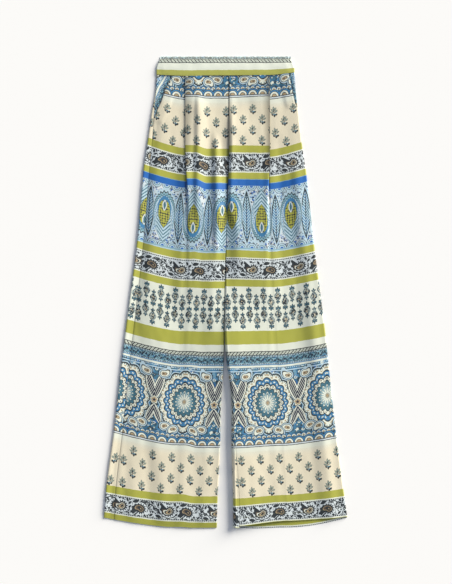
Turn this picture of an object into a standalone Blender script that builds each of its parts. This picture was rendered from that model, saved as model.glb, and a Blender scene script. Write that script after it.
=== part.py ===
"""Pull-on palazzo trousers laid flat on a surface, front up.

Metres, +Z up. X runs across the garment towards the wearer's left, Y runs from the hems to the waist.
The origin is on the surface, under the middle of the garment's box. Sizes in the tables are millimetres,
and `down` is always measured along the cloth from the waistband seam towards the hem.
"""
import math

import bpy
import bmesh

MM = 0.001

# Driving sizes, in millimetres.
WALL = 1.2              # thickness of a single cloth wall
BAND_WALL = 1.8         # thickness of the doubled front waistband
BAND_LIFT = 0.3         # how much higher the doubled waistband's centre lies than a single wall's
GAP = 0.3               # room between two pieces at a seam and between two layers
SEAM_FROM_CENTRE = 488.5  # the waistband seam, up from the middle of the garment's box
BAND_HEIGHT = 35        # front waistband
RUFFLE_HEIGHT = 7.5     # the gathered edge that stands above the front waistband
GATHERS = 44            # waves along the elasticated back waistband
GATHER_LIFT = 1.2       # half height of a wave at the top edge
CROTCH = 285            # down to the fork, where the two legs part
EDGE_TOP = 3.2          # centre of the front wall where it rolls over a leg's edge
BACK_REST = WALL / 2    # centre of the back wall, which lies on the surface
FRONT_REST = WALL + GAP + WALL / 2
EDGE_RADIUS = (EDGE_TOP - BACK_REST) / 2
INNER_CLEAR = GAP / 2 + WALL / 2   # from the line between the legs to the rolled wall's centre
EDGE_EASE = 14          # how far from an edge the front settles onto the back
FOLD_STEPS = 4          # straight pieces in one turn of a pleat
FOLD_RADIUS = 0.75      # centre line of a pressed fold, which leaves GAP between its layers
POCKET_UNDER = 14       # how far the pocket's side piece reaches under the front
POCKET_FADE = 12        # below its foot the front settles again over this length
POCKET_RAISE = WALL + GAP
HEM_DROP_REACH = 60     # height over which a back hem drops below the front one

CUT_LENGTH = 1018       # legs below the waistband seam
ROWS = (0, 40, 68, 80, 112, 124, 160, 185, 210, 235, 262, 285, 310, 350, 400, 460, 520, 575,
        630, 685, 740, 790, 840, 893, 946, 985, CUT_LENGTH)

# The line down the middle: how far it lies towards the wearer's left, and how far each leg parts from it.
MIDDLE_COLUMNS = ("down", "line", "parting")
MIDDLE = (
    (0, 8, 0),
    (160, 8, 0),
    (235, 6, 0),
    (392, 0.5, 0),
    (575, -2.5, 0),
    (640, -1, 2.5),
    (690, 1, 8),
    (740, 1.5, 11.5),
    (826, 0.5, 12.5),
    (946, -0.5, 17),
    (CUT_LENGTH, -1.3, 18.3),
)

# One row for each level of a leg. Columns after `down` are distances out from the garment's middle plane
# (edge: the leg's outer edge, fold: the pleat's line), how far the cloth's own cross line is lifted (at the
# outer edge, at the pleat on its side cloth and on its centre cloth, at the inner edge), and how far the
# back is rolled forward over each edge.
LEG_COLUMNS = ("down", "edge", "fold", "lift_edge", "lift_side", "lift_centre", "lift_inner",
               "roll_edge", "roll_inner")
RIGHT_LEG = (
    (0, 155, 90, 2, -1, -1, 0, 0, 0),
    (50, 158, 90, 9, -5, 2, -2, 2, 0),
    (100, 166, 90, 13, -5, 4, -4, 6, 0),
    (160, 174, 90, 17, -4, 5, -5, 10, 0),
    (235, 185, 89, 18, -1, 2, -6, 14, 0),
    (392, 199, 93, 20, -5, -5, -8, 15, 0),
    (575, 222, 100, 26, -1, -1, -2, 18, 0),
    (690, 236, 105, 29, 1, 1, -3, 19, 0),
    (826, 251, 112, 31, 2, 2, -4, 20, 0),
    (946, 268, 121, 24, 3, 3, -2, 22, 0),
    (CUT_LENGTH, 274, 125, 22, 1, 1, -1, 23, 0),
)
LEFT_LEG = (
    (0, 154.5, 99, 7, 1, 1, 0, 0, 0),
    (50, 159, 99, 4, -5, 3, -1, 0, 0),
    (160, 171, 99, 7, -8, 2, 0, 0, 0),
    (235, 182, 99, 7, -7, 1, -1, 0, 0),
    (392, 199, 104, 9, -2, -2, -2, 0, 0),
    (575, 222, 114, 14, 3, 3, -1, 0, 0),
    (690, 234, 121, 16, 4, 4, -3, 0, 0),
    (826, 249, 129, 18, 4, 4, -5, 0, 13),
    (946, 265, 136, 14, 2, 2, -10, 0, 18),
    (CUT_LENGTH, 275.5, 141, 12, 5, 5, -10, 0, 17),
)

# The pressed pleat: the cloth runs `depth` under, turns back by `turn` degrees for `depth` and turns again.
# Half a turn is a pressed fold, and less is the soft step that it opens into below.
PLEAT_COLUMNS = ("down", "depth", "turn")
PLEAT = (
    (0, 20, 180),
    (160, 13, 180),
    (210, 3, 165),
    (235, 2, 125),
    (285, 1.6, 80),
    (400, 3, 42),
    (575, 5, 22),
    (826, 6, 14),
    (CUT_LENGTH, 6, 10),
)

# Soft ridges of the front cloth: distance out at the top and at the hem, first and last `down`,
# height and half width.
RIDGE_COLUMNS = ("out_top", "out_hem", "first", "last", "height", "half_width")
RIGHT_RIDGES = (
    (72, 84, 70, 420, 1.4, 13),
    (132, 196, 120, 900, 1.3, 18),
    (40, 52, 300, 1018, 1.5, 20),
    (150, 232, 420, 1018, 1.2, 20),
)
LEFT_RIDGES = (
    (64, 78, 90, 760, 1.3, 18),
    (140, 206, 140, 1018, 1.5, 20),
    (34, 46, 420, 1018, 1.4, 18),
    (118, 168, 520, 1018, 1.0, 16),
)

# Slanted pocket mouths: (down, how far the front's corner is cut back from the side seam).
RIGHT_MOUTH = ((0, 36), (35, 20), (68, 13), (95, 5), (112, 0.5), (124, 0), (CUT_LENGTH, 0))
LEFT_MOUTH = ((0, 13), (40, 8), (68, 5), (80, 0), (CUT_LENGTH, 0))

# Waistband: `down` is negative above the seam, and the edges are distances out on either side.
BAND_COLUMNS = ("down", "right_edge", "left_edge")
BAND = (
    (-BAND_HEIGHT - RUFFLE_HEIGHT, 146.6, 147),
    (-BAND_HEIGHT, 148, 146.5),
    (-22, 153.5, 152),
    (-12, 155, 154.5),
    (0, 155, 154.5),
)

LEGS = {
    "right": {"side": -1, "rows": RIGHT_LEG, "ridges": RIGHT_RIDGES, "mouth": RIGHT_MOUTH,
              "pocket_foot": 112, "hem": CUT_LENGTH, "seam_rise": 0.0, "hem_drop": (0, 0, 0)},
    "left": {"side": 1, "rows": LEFT_LEG, "ridges": LEFT_RIDGES, "mouth": LEFT_MOUTH,
             "pocket_foot": 68, "hem": 1007, "seam_rise": 1.3, "hem_drop": (2, 11, 2)},
}

# Base colour and roughness of each piece.
PRINT_CREAM = (0.74, 0.66, 0.50)
BAND_GREEN = (0.38, 0.39, 0.09)
RUFFLE_BLUE = (0.24, 0.38, 0.44)
POCKET_BLUE = (0.13, 0.32, 0.50)
CLOTH_ROUGHNESS = 0.55


def ease(value):
    """Smooth step from 0 to 1."""
    t = min(max(value, 0.0), 1.0)
    return t * t * (3 - 2 * t)


def mix(a, b, t):
    return a + (b - a) * t


def read(table, columns, down):
    """The named values of a table at one level, along a smooth curve through its rows."""
    levels = [row[0] for row in table]
    place = min(max(down, levels[0]), levels[-1])
    k = max(i for i in range(len(levels) - 1) if levels[i] <= place)
    span = levels[k + 1] - levels[k]
    t = (place - levels[k]) / span
    values = {"down": down}
    for column in range(1, len(columns)):
        start, end = table[k][column], table[k + 1][column]
        slopes = []
        for i in (k, k + 1):
            low, high = max(i - 1, 0), min(i + 1, len(levels) - 1)
            slope = (table[high][column] - table[low][column]) / (levels[high] - levels[low])
            slopes.append(slope * span)
        values[columns[column]] = (start * (2 * t ** 3 - 3 * t ** 2 + 1) + slopes[0] * (t ** 3 - 2 * t ** 2 + t)
                                   + end * (3 * t ** 2 - 2 * t ** 3) + slopes[1] * (t ** 3 - t ** 2))
    return values


def leg_row(leg, down):
    row = read(leg["rows"], LEG_COLUMNS, down)
    middle = read(MIDDLE, MIDDLE_COLUMNS, down)
    row["inner"] = leg["side"] * middle["line"] + max(middle["parting"], 0.0)
    row["roll_edge"] = max(row["roll_edge"], 0.0)
    row["roll_inner"] = max(row["roll_inner"], 0.0)
    row["mouth"] = mouth_cut(leg, down)
    row["fork"] = 1.0 if down > CROTCH else 0.0
    return row


def mouth_cut(leg, down):
    table = leg["mouth"]
    for (top, wide), (foot, narrow) in zip(table, table[1:]):
        if down <= foot:
            return mix(wide, narrow, (down - top) / (foot - top))
    return 0.0


def bed(row, out):
    """Height of a cloth that lies on the back: low inside, and up at the leg's edges."""
    from_edge = ease((row["edge"] - out) / EDGE_EASE)
    from_inner = mix(1.0, ease((out - row["inner"]) / EDGE_EASE), row["fork"])
    return mix(EDGE_TOP, FRONT_REST, from_edge * from_inner)


def ridge_height(leg, row, out):
    height = 0.0
    for ridge in leg["ridges"]:
        r = dict(zip(RIDGE_COLUMNS, ridge))
        line = mix(r["out_top"], r["out_hem"], row["down"] / CUT_LENGTH)
        across = 1 - ease(abs(out - line) / r["half_width"])
        fade = 60.0
        along = ease((row["down"] - r["first"]) / fade)
        if r["last"] < CUT_LENGTH:
            along *= ease((r["last"] - row["down"]) / fade)
        height += r["height"] * across * along
    return height


def lie(leg, row, out):
    """Height of the front cloth's centre before its pleat is added."""
    reach = row["roll_edge"] + row["mouth"] + POCKET_UNDER
    over_pocket = 1 - ease((row["edge"] - out - reach - 1) / 10)
    over_pocket *= 1 - ease((row["down"] - leg["pocket_foot"]) / POCKET_FADE)
    centre_front = (1 - row["fork"]) * (1 - ease((out - row["inner"]) / 22))
    return (bed(row, out) + POCKET_RAISE * over_pocket + ridge_height(leg, row, out)
            + leg["seam_rise"] * centre_front)


def edge_point(row, q, height):
    """A point of the wall that rolls round a leg's outer edge, q along the cloth from the very edge:
    positive on the front, negative underneath. height gives the front's height at a distance out."""
    quarter = EDGE_RADIUS * math.pi / 2
    if abs(q) <= quarter:
        angle = q / EDGE_RADIUS
        return (row["edge"] - EDGE_RADIUS * (1 - math.cos(angle)),
                BACK_REST + EDGE_RADIUS * (1 + math.sin(angle)))
    out = row["edge"] - EDGE_RADIUS - (abs(q) - quarter)
    return (out, height(out) if q > 0 else BACK_REST)


def inner_point(row, q, height):
    """The same round a leg's inner edge below the fork. Above it the cloth ends flat at the centre seam."""
    if row["fork"] < 0.5:
        out = row["inner"] + max(abs(q), GAP / 2)
        return (out, height(out) if q > 0 else BACK_REST)
    quarter = EDGE_RADIUS * math.pi / 2
    if abs(q) <= quarter:
        angle = q / EDGE_RADIUS
        return (row["inner"] + INNER_CLEAR + EDGE_RADIUS * (1 - math.cos(angle)),
                BACK_REST + EDGE_RADIUS * (1 + math.sin(angle)))
    out = row["inner"] + INNER_CLEAR + EDGE_RADIUS + (abs(q) - quarter)
    return (out, height(out) if q > 0 else BACK_REST)


def spaced(first, last, count):
    return [mix(first, last, i / (count - 1)) for i in range(count)]


def pleat_path(depth, turn):
    """Inward distance and rise along a pleat: under, round, back, round and over."""
    reach, rise, heading = 0.0, 0.0, 0.0
    path = []

    def go(length, degrees):
        nonlocal reach, rise, heading
        middle = math.radians(heading + degrees / 2)
        reach += length * math.cos(middle)
        rise += length * math.sin(middle)
        heading += degrees
        path.append((reach, rise))

    step_turn = turn / FOLD_STEPS
    chord = 2 * FOLD_RADIUS * math.sin(math.radians(step_turn / 2))
    for direction in (1, -1):
        go(depth, 0)
        for _ in range(FOLD_STEPS):
            go(chord, direction * step_turn)
    go(depth, 0)
    return path


def front_section(leg, down):
    """Centre line of a front panel at one level, from its outer seam to its inner seam."""
    row = leg_row(leg, down)
    pleat = read(PLEAT, PLEAT_COLUMNS, down)
    quarter = EDGE_RADIUS * math.pi / 2

    def height(out):
        return lie(leg, row, out)

    start = row["roll_edge"] + row["mouth"] + GAP / 2
    points = [edge_point(row, q, height) for q in spaced(start, max(start, quarter) + 2, 4)]
    for out in spaced(points[-1][0], row["fold"], 7)[1:]:
        points.append((out, height(out)))
    side_count = len(points)
    fold_foot = height(row["fold"])
    path = pleat_path(pleat["depth"], min(pleat["turn"], 180))
    for reach, rise in path:
        points.append((row["fold"] - reach, fold_foot + rise))
    fold_end, top = points[-1]
    step = top - height(fold_end)
    finish = row["roll_inner"] + GAP / 2
    end_q = max(finish, quarter) + 2

    def over(out):
        fade = 1 - ease((fold_end - out) / (0.7 * (fold_end - row["inner"])))
        return height(out) + step * fade

    last_out = inner_point(row, end_q, over)[0]
    for out in spaced(fold_end, last_out, 9)[1:-1]:
        points.append((out, over(out)))
    points += [inner_point(row, q, over) for q in spaced(end_q, finish, 4)]
    return row, points, side_count


def front_lift(row, out, on_side):
    """How far the cloth's cross line is lifted at a distance out, on one side of the pleat."""
    if on_side:
        across = (row["edge"] - out) / (row["edge"] - row["fold"])
        return mix(row["lift_side"], row["lift_edge"], max(1 - max(across, 0), 0) ** 1.4)
    across = (row["fold"] - out) / (row["fold"] - row["inner"])
    return mix(row["lift_centre"], row["lift_inner"], ease(across))


def back_lift(row, out):
    """The same for the back, which has no pleat."""
    plain = dict(row)
    plain["lift_side"] = plain["lift_centre"] = (row["lift_side"] + row["lift_centre"]) / 2
    return front_lift(plain, out, out > row["fold"])


def level(down, lift):
    """Y of a point of the cloth."""
    return SEAM_FROM_CENTRE - down + lift


def front_rows(leg):
    rows = []
    for down in ROWS:
        down = min(down, leg["hem"])
        row, section, side_count = front_section(leg, down)
        line = []
        for i, (out, z) in enumerate(section):
            lift = front_lift(row, out, i <= side_count + FOLD_STEPS)
            line.append((leg["side"] * out, level(down, lift), z))
        rows.append(line)
    return rows


def seam_parameters(roll):
    """Places along a back panel's end, from its seam round the edge and onto the surface."""
    quarter = EDGE_RADIUS * math.pi / 2
    seam = roll - GAP / 2 if roll > 0 else -GAP / 2
    if seam > quarter + 1:
        return spaced(seam, quarter, 3) + spaced(quarter, -quarter, 5)[1:] + [-quarter - 2]
    return spaced(seam, -quarter - 2, 8)


def back_rows(leg):
    rows = []
    for down in ROWS:
        down = min(down, leg["hem"])
        row = leg_row(leg, down)

        def height(out):
            return bed(row, out) + ridge_height(leg, row, out)

        section = [inner_point(row, q, height) for q in seam_parameters(row["roll_inner"])]
        outer = [edge_point(row, q, height) for q in reversed(seam_parameters(row["roll_edge"]))]
        for out in spaced(section[-1][0], outer[0][0], 8)[1:-1]:
            section.append((out, BACK_REST))
        section += outer
        drop = hem_drop(leg, row)
        line = []
        for i, (out, z) in enumerate(section):
            on_front = z > EDGE_TOP - 0.2 and i > len(section) / 2
            lift = front_lift(row, out, True) if on_front else back_lift(row, out)
            line.append((leg["side"] * out, level(down, lift) - drop(out), z))
        rows.append(line)
    return rows


def hem_drop(leg, row):
    """Further down that a back hem hangs, at the inner edge, the middle and the outer edge of the leg."""
    near_hem = ease((row["down"] - leg["hem"] + HEM_DROP_REACH) / HEM_DROP_REACH)
    inner, middle, edge = (value * near_hem for value in leg["hem_drop"])

    def drop(out):
        t = min(max((out - row["inner"]) / (row["edge"] - row["inner"]), 0), 1)
        return inner * (1 - t) * (1 - 2 * t) + 4 * middle * t * (1 - t) + edge * t * (2 * t - 1)

    return drop


def pocket_rows(leg):
    rows = []
    for down in [level for level in ROWS if level <= leg["pocket_foot"]]:
        row = leg_row(leg, down)
        quarter = EDGE_RADIUS * math.pi / 2

        def height(out):
            return bed(row, out)

        start = row["roll_edge"] + GAP / 2
        reach = start + row["mouth"] + POCKET_UNDER
        section = [edge_point(row, q, height) for q in spaced(start, max(start, quarter) + 2, 4)]
        section += [edge_point(row, q, height) for q in spaced(max(start, quarter) + 2, reach, 5)[1:]]
        rows.append([(leg["side"] * out, level(down, front_lift(row, out, True)), z) for out, z in section])
    return rows


def seam_lift(x):
    """How far the waistband seam is lifted across the garment."""
    leg = LEGS["right"] if x < MIDDLE[0][1] else LEGS["left"]
    row = leg_row(leg, 0)
    out = leg["side"] * x
    return front_lift(row, out, out > row["fold"])


def band_section(down, top, count):
    """Centre line of a waistband across the garment, with both ends rolled to the middle of the edge."""
    band = read(BAND, BAND_COLUMNS, down)
    ends = []
    for side, edge in ((-1, band["right_edge"]), (1, band["left_edge"])):
        row = {"edge": edge}
        quarter = EDGE_RADIUS * math.pi / 2
        sign = 1 if top else -1
        turned = [edge_point(row, sign * q, lambda out: EDGE_TOP) for q in spaced(GAP / 2, quarter + 1.5, 4)]
        ends.append([(side * out, z) for out, z in turned])
    first, last = ends[0], list(reversed(ends[1]))
    rest = EDGE_TOP if top else BACK_REST
    return first + [(x, rest) for x in spaced(first[-1][0], last[0][0], count)[1:-1]] + last


def band_front_rows():
    rows = []
    for down in (-BAND_HEIGHT, -24, -12, 0):
        section = band_section(down, True, 14)
        at_seam = 1 + down / BAND_HEIGHT
        rows.append([(x, level(down, seam_lift(x) * at_seam + GAP), z + BAND_LIFT) for x, z in section])
    return rows


def band_back_rows():
    points_per_gather = 4
    count = GATHERS * points_per_gather + 3
    top = -BAND_HEIGHT - RUFFLE_HEIGHT
    lifts = ((top, GATHER_LIFT), (top + 4, GATHER_LIFT * 0.8), (-BAND_HEIGHT + 1, 0.12), (0, 0.0))
    rows = []
    for down, lift in lifts:
        section = band_section(down, False, count)
        at_seam = 1 + down / (BAND_HEIGHT + RUFFLE_HEIGHT)
        line = []
        for i, (x, z) in enumerate(section):
            wave = math.cos(2 * math.pi * (i - 3) / points_per_gather)
            inside = 3 < i < len(section) - 4
            rise = lift * (1 - wave) if inside else 0.0
            scallop = -0.8 * wave if inside and down == top else 0.0
            line.append((x, level(down, seam_lift(x) * at_seam + GAP + scallop), z + rise))
        rows.append(line)
    return rows


def headings(line):
    """The direction of a centre line at each of its points, in the plane across the legs, and how much
    further out the wall's corner lies where the line bends."""
    spans = [math.atan2(b[2] - a[2], b[0] - a[0]) for a, b in zip(line, line[1:])]
    turns = [math.remainder(b - a, 2 * math.pi) for a, b in zip(spans, spans[1:])]
    angles = [spans[0] - turns[0] / 2]
    angles += [span + turn / 2 for span, turn in zip(spans, turns)]
    angles.append(spans[-1] + turns[-1] / 2)
    stretches = [1.0] + [min(1 / math.cos(turn / 2), 1.2) for turn in turns] + [1.0]
    return zip(angles, stretches)


def wall_rings(rows, thickness):
    """Each row's centre line with half the wall on either side of it, as one closed ring."""
    rings = []
    for line in rows:
        outer, inner = [], []
        for (x, y, z), (angle, stretch) in zip(line, headings(line)):
            across = -math.sin(angle) * thickness / 2 * stretch
            up = math.cos(angle) * thickness / 2 * stretch
            outer.append((x + across, y, max(z + up, 0.0)))
            inner.append((x - across, y, max(z - up, 0.0)))
        rings.append(outer + inner[::-1])
    return rings


def make_material(name, colour):
    material = bpy.data.materials.new(name)
    material.use_nodes = True
    shader = material.node_tree.nodes["Principled BSDF"]
    shader.inputs["Base Color"].default_value = (*colour, 1)
    shader.inputs["Roughness"].default_value = CLOTH_ROUGHNESS
    shader.inputs["Metallic"].default_value = 0
    material.diffuse_color = (*colour, 1)
    return material


def cloth_wall(name, rows, thickness, colour, collection):
    """A closed wall lofted through the rings of its rows, from the waist down."""
    bm = bmesh.new()
    rings = [[bm.verts.new((x * MM, y * MM, z * MM)) for x, y, z in ring] for ring in wall_rings(rows, thickness)]
    size = len(rings[0])
    half = size // 2
    for upper, lower in zip(rings, rings[1:]):
        for i in range(size):
            n = (i + 1) % size
            bm.faces.new((upper[i], upper[n], lower[n], lower[i]))
    for ring in (rings[0], rings[-1]):
        for i in range(half - 1):
            bm.faces.new((ring[i], ring[i + 1], ring[size - 2 - i], ring[size - 1 - i]))
    bmesh.ops.recalc_face_normals(bm, faces=bm.faces)
    mesh = bpy.data.meshes.new(name)
    bm.to_mesh(mesh)
    bm.free()
    mesh.shade_smooth()
    mesh.set_sharp_from_angle(angle=math.radians(50))
    mesh.materials.append(make_material(name + "_cloth", colour))
    piece = bpy.data.objects.new(name, mesh)
    collection.objects.link(piece)
    return piece


def build():
    for thing in list(bpy.data.objects):
        bpy.data.objects.remove(thing, do_unlink=True)
    collection = bpy.data.collections.new("palazzo_pants")
    bpy.context.scene.collection.children.link(collection)
    for name, leg in LEGS.items():
        cloth_wall("front_" + name, front_rows(leg), WALL, PRINT_CREAM, collection)
        cloth_wall("back_" + name, back_rows(leg), WALL, PRINT_CREAM, collection)
        cloth_wall("pocket_" + name, pocket_rows(leg), WALL, POCKET_BLUE, collection)
    cloth_wall("waistband_front", band_front_rows(), BAND_WALL, BAND_GREEN, collection)
    cloth_wall("waistband_back", band_back_rows(), WALL, RUFFLE_BLUE, collection)


build()
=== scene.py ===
"""Fine cloth, print, stitching and a stage for a pair of palazzo pants laid flat on a surface."""

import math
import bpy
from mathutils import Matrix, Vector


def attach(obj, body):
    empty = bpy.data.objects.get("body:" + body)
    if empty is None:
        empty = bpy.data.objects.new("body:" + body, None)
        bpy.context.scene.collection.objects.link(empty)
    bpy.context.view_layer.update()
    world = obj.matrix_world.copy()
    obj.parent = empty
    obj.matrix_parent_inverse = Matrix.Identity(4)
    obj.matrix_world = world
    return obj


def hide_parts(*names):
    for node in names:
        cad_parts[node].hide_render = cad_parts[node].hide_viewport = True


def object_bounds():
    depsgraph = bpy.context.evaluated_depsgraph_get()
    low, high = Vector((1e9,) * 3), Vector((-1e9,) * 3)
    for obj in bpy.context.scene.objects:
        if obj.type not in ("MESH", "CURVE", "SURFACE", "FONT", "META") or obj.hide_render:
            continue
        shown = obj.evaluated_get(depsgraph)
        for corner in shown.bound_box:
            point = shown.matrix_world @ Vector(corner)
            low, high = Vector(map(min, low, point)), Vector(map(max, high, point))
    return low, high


bl_info = {
    "name": "Palazzo Pants Laid Flat",
    "version": (1, 0, 0),
    "blender": (4, 5, 0),
    "location": "View3D > Sidebar > Palazzo Pants",
    "description": "Dresses the solids of printed palazzo pants with fine cloth, sewing and a stage",
    "category": "Add Mesh",
}

import bmesh
import bpy
from bpy.props import FloatProperty, FloatVectorProperty, IntProperty, PointerProperty
from mathutils import Vector, noise

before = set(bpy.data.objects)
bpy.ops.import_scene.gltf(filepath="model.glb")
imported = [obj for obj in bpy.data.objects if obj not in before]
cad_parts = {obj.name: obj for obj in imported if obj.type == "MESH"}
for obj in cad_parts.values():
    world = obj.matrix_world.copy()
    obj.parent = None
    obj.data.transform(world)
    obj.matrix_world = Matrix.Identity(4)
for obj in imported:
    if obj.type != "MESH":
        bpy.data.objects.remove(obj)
CAD_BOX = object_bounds()

MM = 0.001

# ------------------------------------------------------------
# Sizes of the cut, in millimetres. X runs towards the wearer's left and Y from the hems to the waist.
# `down` is measured along the cloth from the waistband seam, `out` from the garment's middle plane.

BAND_LIFT = 0.3           # how much higher the doubled front waistband lies than a single wall
GAP = 0.3                 # room between two pieces at a seam and between two layers
SEAM_FROM_CENTRE = 488.5  # the waistband seam, up from the middle of the garment's box
BAND_HEIGHT = 35
RUFFLE_HEIGHT = 7.5       # the gathered edge that stands above the front waistband
CROTCH = 285
EDGE_TOP = 3.2            # centre of the front wall where it rolls over a leg's edge at the waist
FOLD_EASE = 34            # how far from an edge the soft folds reach their whole height
SEAM_EASE = 7             # the same beside the centre seam
SEAM_GROOVE = 0.5         # how deep the cloth dips at the rolled side seam, and how far beside it
SEAM_GROOVE_REACH = 2.6
SEAM_SHADE_REACH = 1.7           # how far a seam's dark line with its painted shade, and the painted shade at a pleat's foot, reach onto the cloth
SEAM_SHADE_DARKNESS = 0.8       # how much of its colour the cloth loses under the whole painted seam shade
SEAM_RIDGE = 22           # how far beside the centre seam the cloth is raised, where a leg has a seam_rise
CENTRE_RISE = 0.5         # share of the folds' height that is left at the centre seam
CENTRE_EASE = 60          # length above the fork over which that share is lost
FORK_EASE = 90            # length below the fork over which the inner edge's ease widens to the outer edge's
WAIST_EASE = 70           # length below the waist over which the folds grow
FOLD_TAPER = 5            # a soft fold grows and fades over one part in this many of its length
FOLD_STEPS = 6            # straight pieces in one turn of a pleat
FOLD_RADIUS = 0.65        # centre line of a pressed fold
INNER_FALL = 1.7          # how steeply the cloth comes down from a raised inner edge
POCKET_UNDER = 14         # how far a pocket's side piece reaches under the front
POCKET_FADE = 12          # how fast its height ends, below its foot and beside it
POCKET_STEP = 10
POCKET_RAISE = 1.3
POCKET_ROW = 3.5
MOUTH_STITCH = 4.5        # how far a pocket mouth's stitching lies from its edge
HEM_STITCH = 18.5         # how far the hems' stitching lies above the hem
HEM_DROP_REACH = 60
HEM_TURN = 20             # depth of the turned-up hem
TURNED_HEM = 2.5          # how far above the hem the back's print turns round with it
HEM_SETTLE = 15           # how far above a resting hem the cloth comes down to the surface
CUT_LENGTH = 1018

# The cloth's unevenness: how long it is across and along a leg, its share of the rumple, and its seed.
RUMPLES = ((46, 120, 2.2, 0.0), (15, 34, 1.0, 5.0))

# Points along a section: round an edge, across the front outside and inside its pleat, across the back, and
# on the part of the back that is rolled onto the front.
EDGE_POINTS, SIDE_POINTS, CENTRE_POINTS, BACK_POINTS, ROLLED_POINTS = 8, 34, 36, 40, 10
PAST_TURN = 2             # how far past an edge's turn its close points run
BAND_ROWS, BAND_POINTS = 15, 130
BAND_END_POINTS = 6       # points over which a waistband's unevenness grows at each end
GATHER_POINTS = 6         # points along one gather
MOUTH_POINTS = 24         # points along a pocket mouth's stitching
LEVEL_SLOPE = 0.7         # how steep cloth can be and still be stitched from above

# How far the line between the legs lies to the wearer's left, and how far from it each inner edge lies.
MIDDLE_COLUMNS = ("down", "line", "parting")
MIDDLE = (
    (0, 8, 0),
    (160, 8, 0),
    (235, 6, 0),
    (392, 0.5, 0),
    (575, -2.5, 0),
    (640, -1, 2.5),
    (690, 1, 8),
    (740, 1.5, 11.5),
    (826, 0.5, 12.5),
    (946, -0.5, 17),
    (CUT_LENGTH, -1.3, 18.3),
)

# Distances out of a leg's outer edge and of its pleat, how far the cloth's cross line is lifted (at the
# outer edge, at the pleat on its side cloth and on its centre cloth, at the inner edge), how far the back is
# rolled forward over each edge, and where the print's axis lies.
LEG_COLUMNS = ("down", "edge", "fold", "lift_edge", "lift_side", "lift_centre", "lift_inner",
               "roll_edge", "roll_inner", "axis")
RIGHT_LEG = (
    (0, 155, 90, 2, -1, -1, 0, 0, 0, 59.5),
    (50, 158, 90, 11, -5, 2, -2, 2, 0, 61),
    (100, 166, 90, 17, -4, 3, -4, 6, 0, 63),
    (160, 174, 90, 21, -3, 4, -4, 10, 0, 65),
    (235, 185, 89, 21, -3, 3, -7, 14, 0, 68),
    (392, 199, 93, 20, -5, -5, -8, 15, 0, 75),
    (575, 222, 100, 26, -1, -1, -2, 18, 0, 84),
    (690, 236, 105, 29, 1, 1, -3, 19, 0, 90),
    (826, 251, 112, 31, 2, 2, -4, 20, 0, 97),
    (946, 268, 121, 24, 3, 3, -2, 22, 0, 103),
    (CUT_LENGTH, 274, 125, 22, 1, 1, -1, 23, 0, 107),
)
LEFT_LEG = (
    (0, 154.5, 99, 7, 1, 1, 0, 0, 0, 84.5),
    (50, 159, 99, 6, -4, 3, 0, 0, 0, 84),
    (160, 171, 99, 11, -6, 3, 3, 0, 0, 82.5),
    (235, 182, 99, 11, -7, 1, 2, 0, 0, 81.5),
    (392, 199, 104, 12, -5, -4, -1, 0, 0, 83),
    (575, 222, 114, 17, 0, 0, -1, 0, 0, 89),
    (690, 234, 121, 18, 0, 0, -3, 0, 0, 94),
    (826, 249, 129, 18, 1, 1, -4, 0, 13, 99),
    (946, 265, 136, 15, 1, 1, -6, 0, 18, 104),
    (CUT_LENGTH, 275.5, 141, 12.5, 4, 4, -8, 0, 17, 106),
)

# How deep the pleat's under-lap is, and how many degrees each of its two folds turns.
PLEAT_COLUMNS = ("down", "depth", "turn")
PLEAT = (
    (0, 20, 180),
    (160, 13, 180),
    (210, 3, 165),
    (235, 2, 125),
    (285, 1.2, 60),
    (400, 1, 17),
    (575, 0.8, 9),
    (826, 0.6, 6),
    (CUT_LENGTH, 0.6, 5),
)

# Height of the rolled wall's centre at a leg's outer and inner edges.
TOP_COLUMNS = ("down", "edge_top", "inner_top")
RIGHT_TOPS = (
    (0, EDGE_TOP, EDGE_TOP),
    (120, 4, EDGE_TOP),
    (CROTCH, 5, EDGE_TOP),
    (575, 5, 7.6),
    (700, 5, 6.4),
    (CUT_LENGTH, 4.4, 4.6),
)
LEFT_TOPS = (
    (0, EDGE_TOP, EDGE_TOP),
    (120, 3.6, EDGE_TOP),
    (CROTCH, 5.4, EDGE_TOP),
    (470, 6.6, 8),
    (575, 5.6, 13),
    (700, 4.6, 15.5),
    (CUT_LENGTH, 4.4, 13),
)

# Soft folds of the front: where each ridge starts and ends, how far it reaches towards the inner and the
# outer edge, and its height.
FOLD_COLUMNS = ("down_a", "out_a", "down_b", "out_b", "inward", "outward", "height")
RIGHT_FOLDS = (
    (110, 22, 420, 18, 16, 13, 5.6),
    (20, 60, 340, 64, 26, 11, 4.2),
    (150, 8, 640, 6, 14, 66, 5.0),
    (130, 88, 560, 104, 18, 22, 2.2),
    (20, 152, 560, 180, 52, 24, 3.2),
    (430, 178, 1300, 120, 74, 34, 2.8),
    (640, 190, 1300, 226, 34, 26, 1.7),
    (740, 42, 1300, 50, 26, 30, 1.3),
    (800, 246, 1300, 254, 26, 14, 1.2),
    (250, 66, 520, 70, 16, 18, 0.8),
)
LEFT_FOLDS = (
    (50, 2, 480, 10, 20, 84, 7.4),
    (60, 153, 1300, 268, 36, 34, 4.6),
    (110, 103, 560, 108, 22, 24, 2.4),
    (160, 160, 430, 180, 24, 20, 1.8),
    (120, 132, 330, 138, 16, 18, 0.8),
    (560, 120, 900, 130, 34, 34, 0.8),
)

# How far a front is cut back from its seam along the pocket mouth, by `down`.
RIGHT_MOUTH = ((0, 36), (35, 20), (68, 13), (95, 5), (112, 0.5), (124, 0), (CUT_LENGTH, 0))
LEFT_MOUTH = ((0, 13), (40, 8), (68, 5), (80, 0), (CUT_LENGTH, 0))

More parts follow.
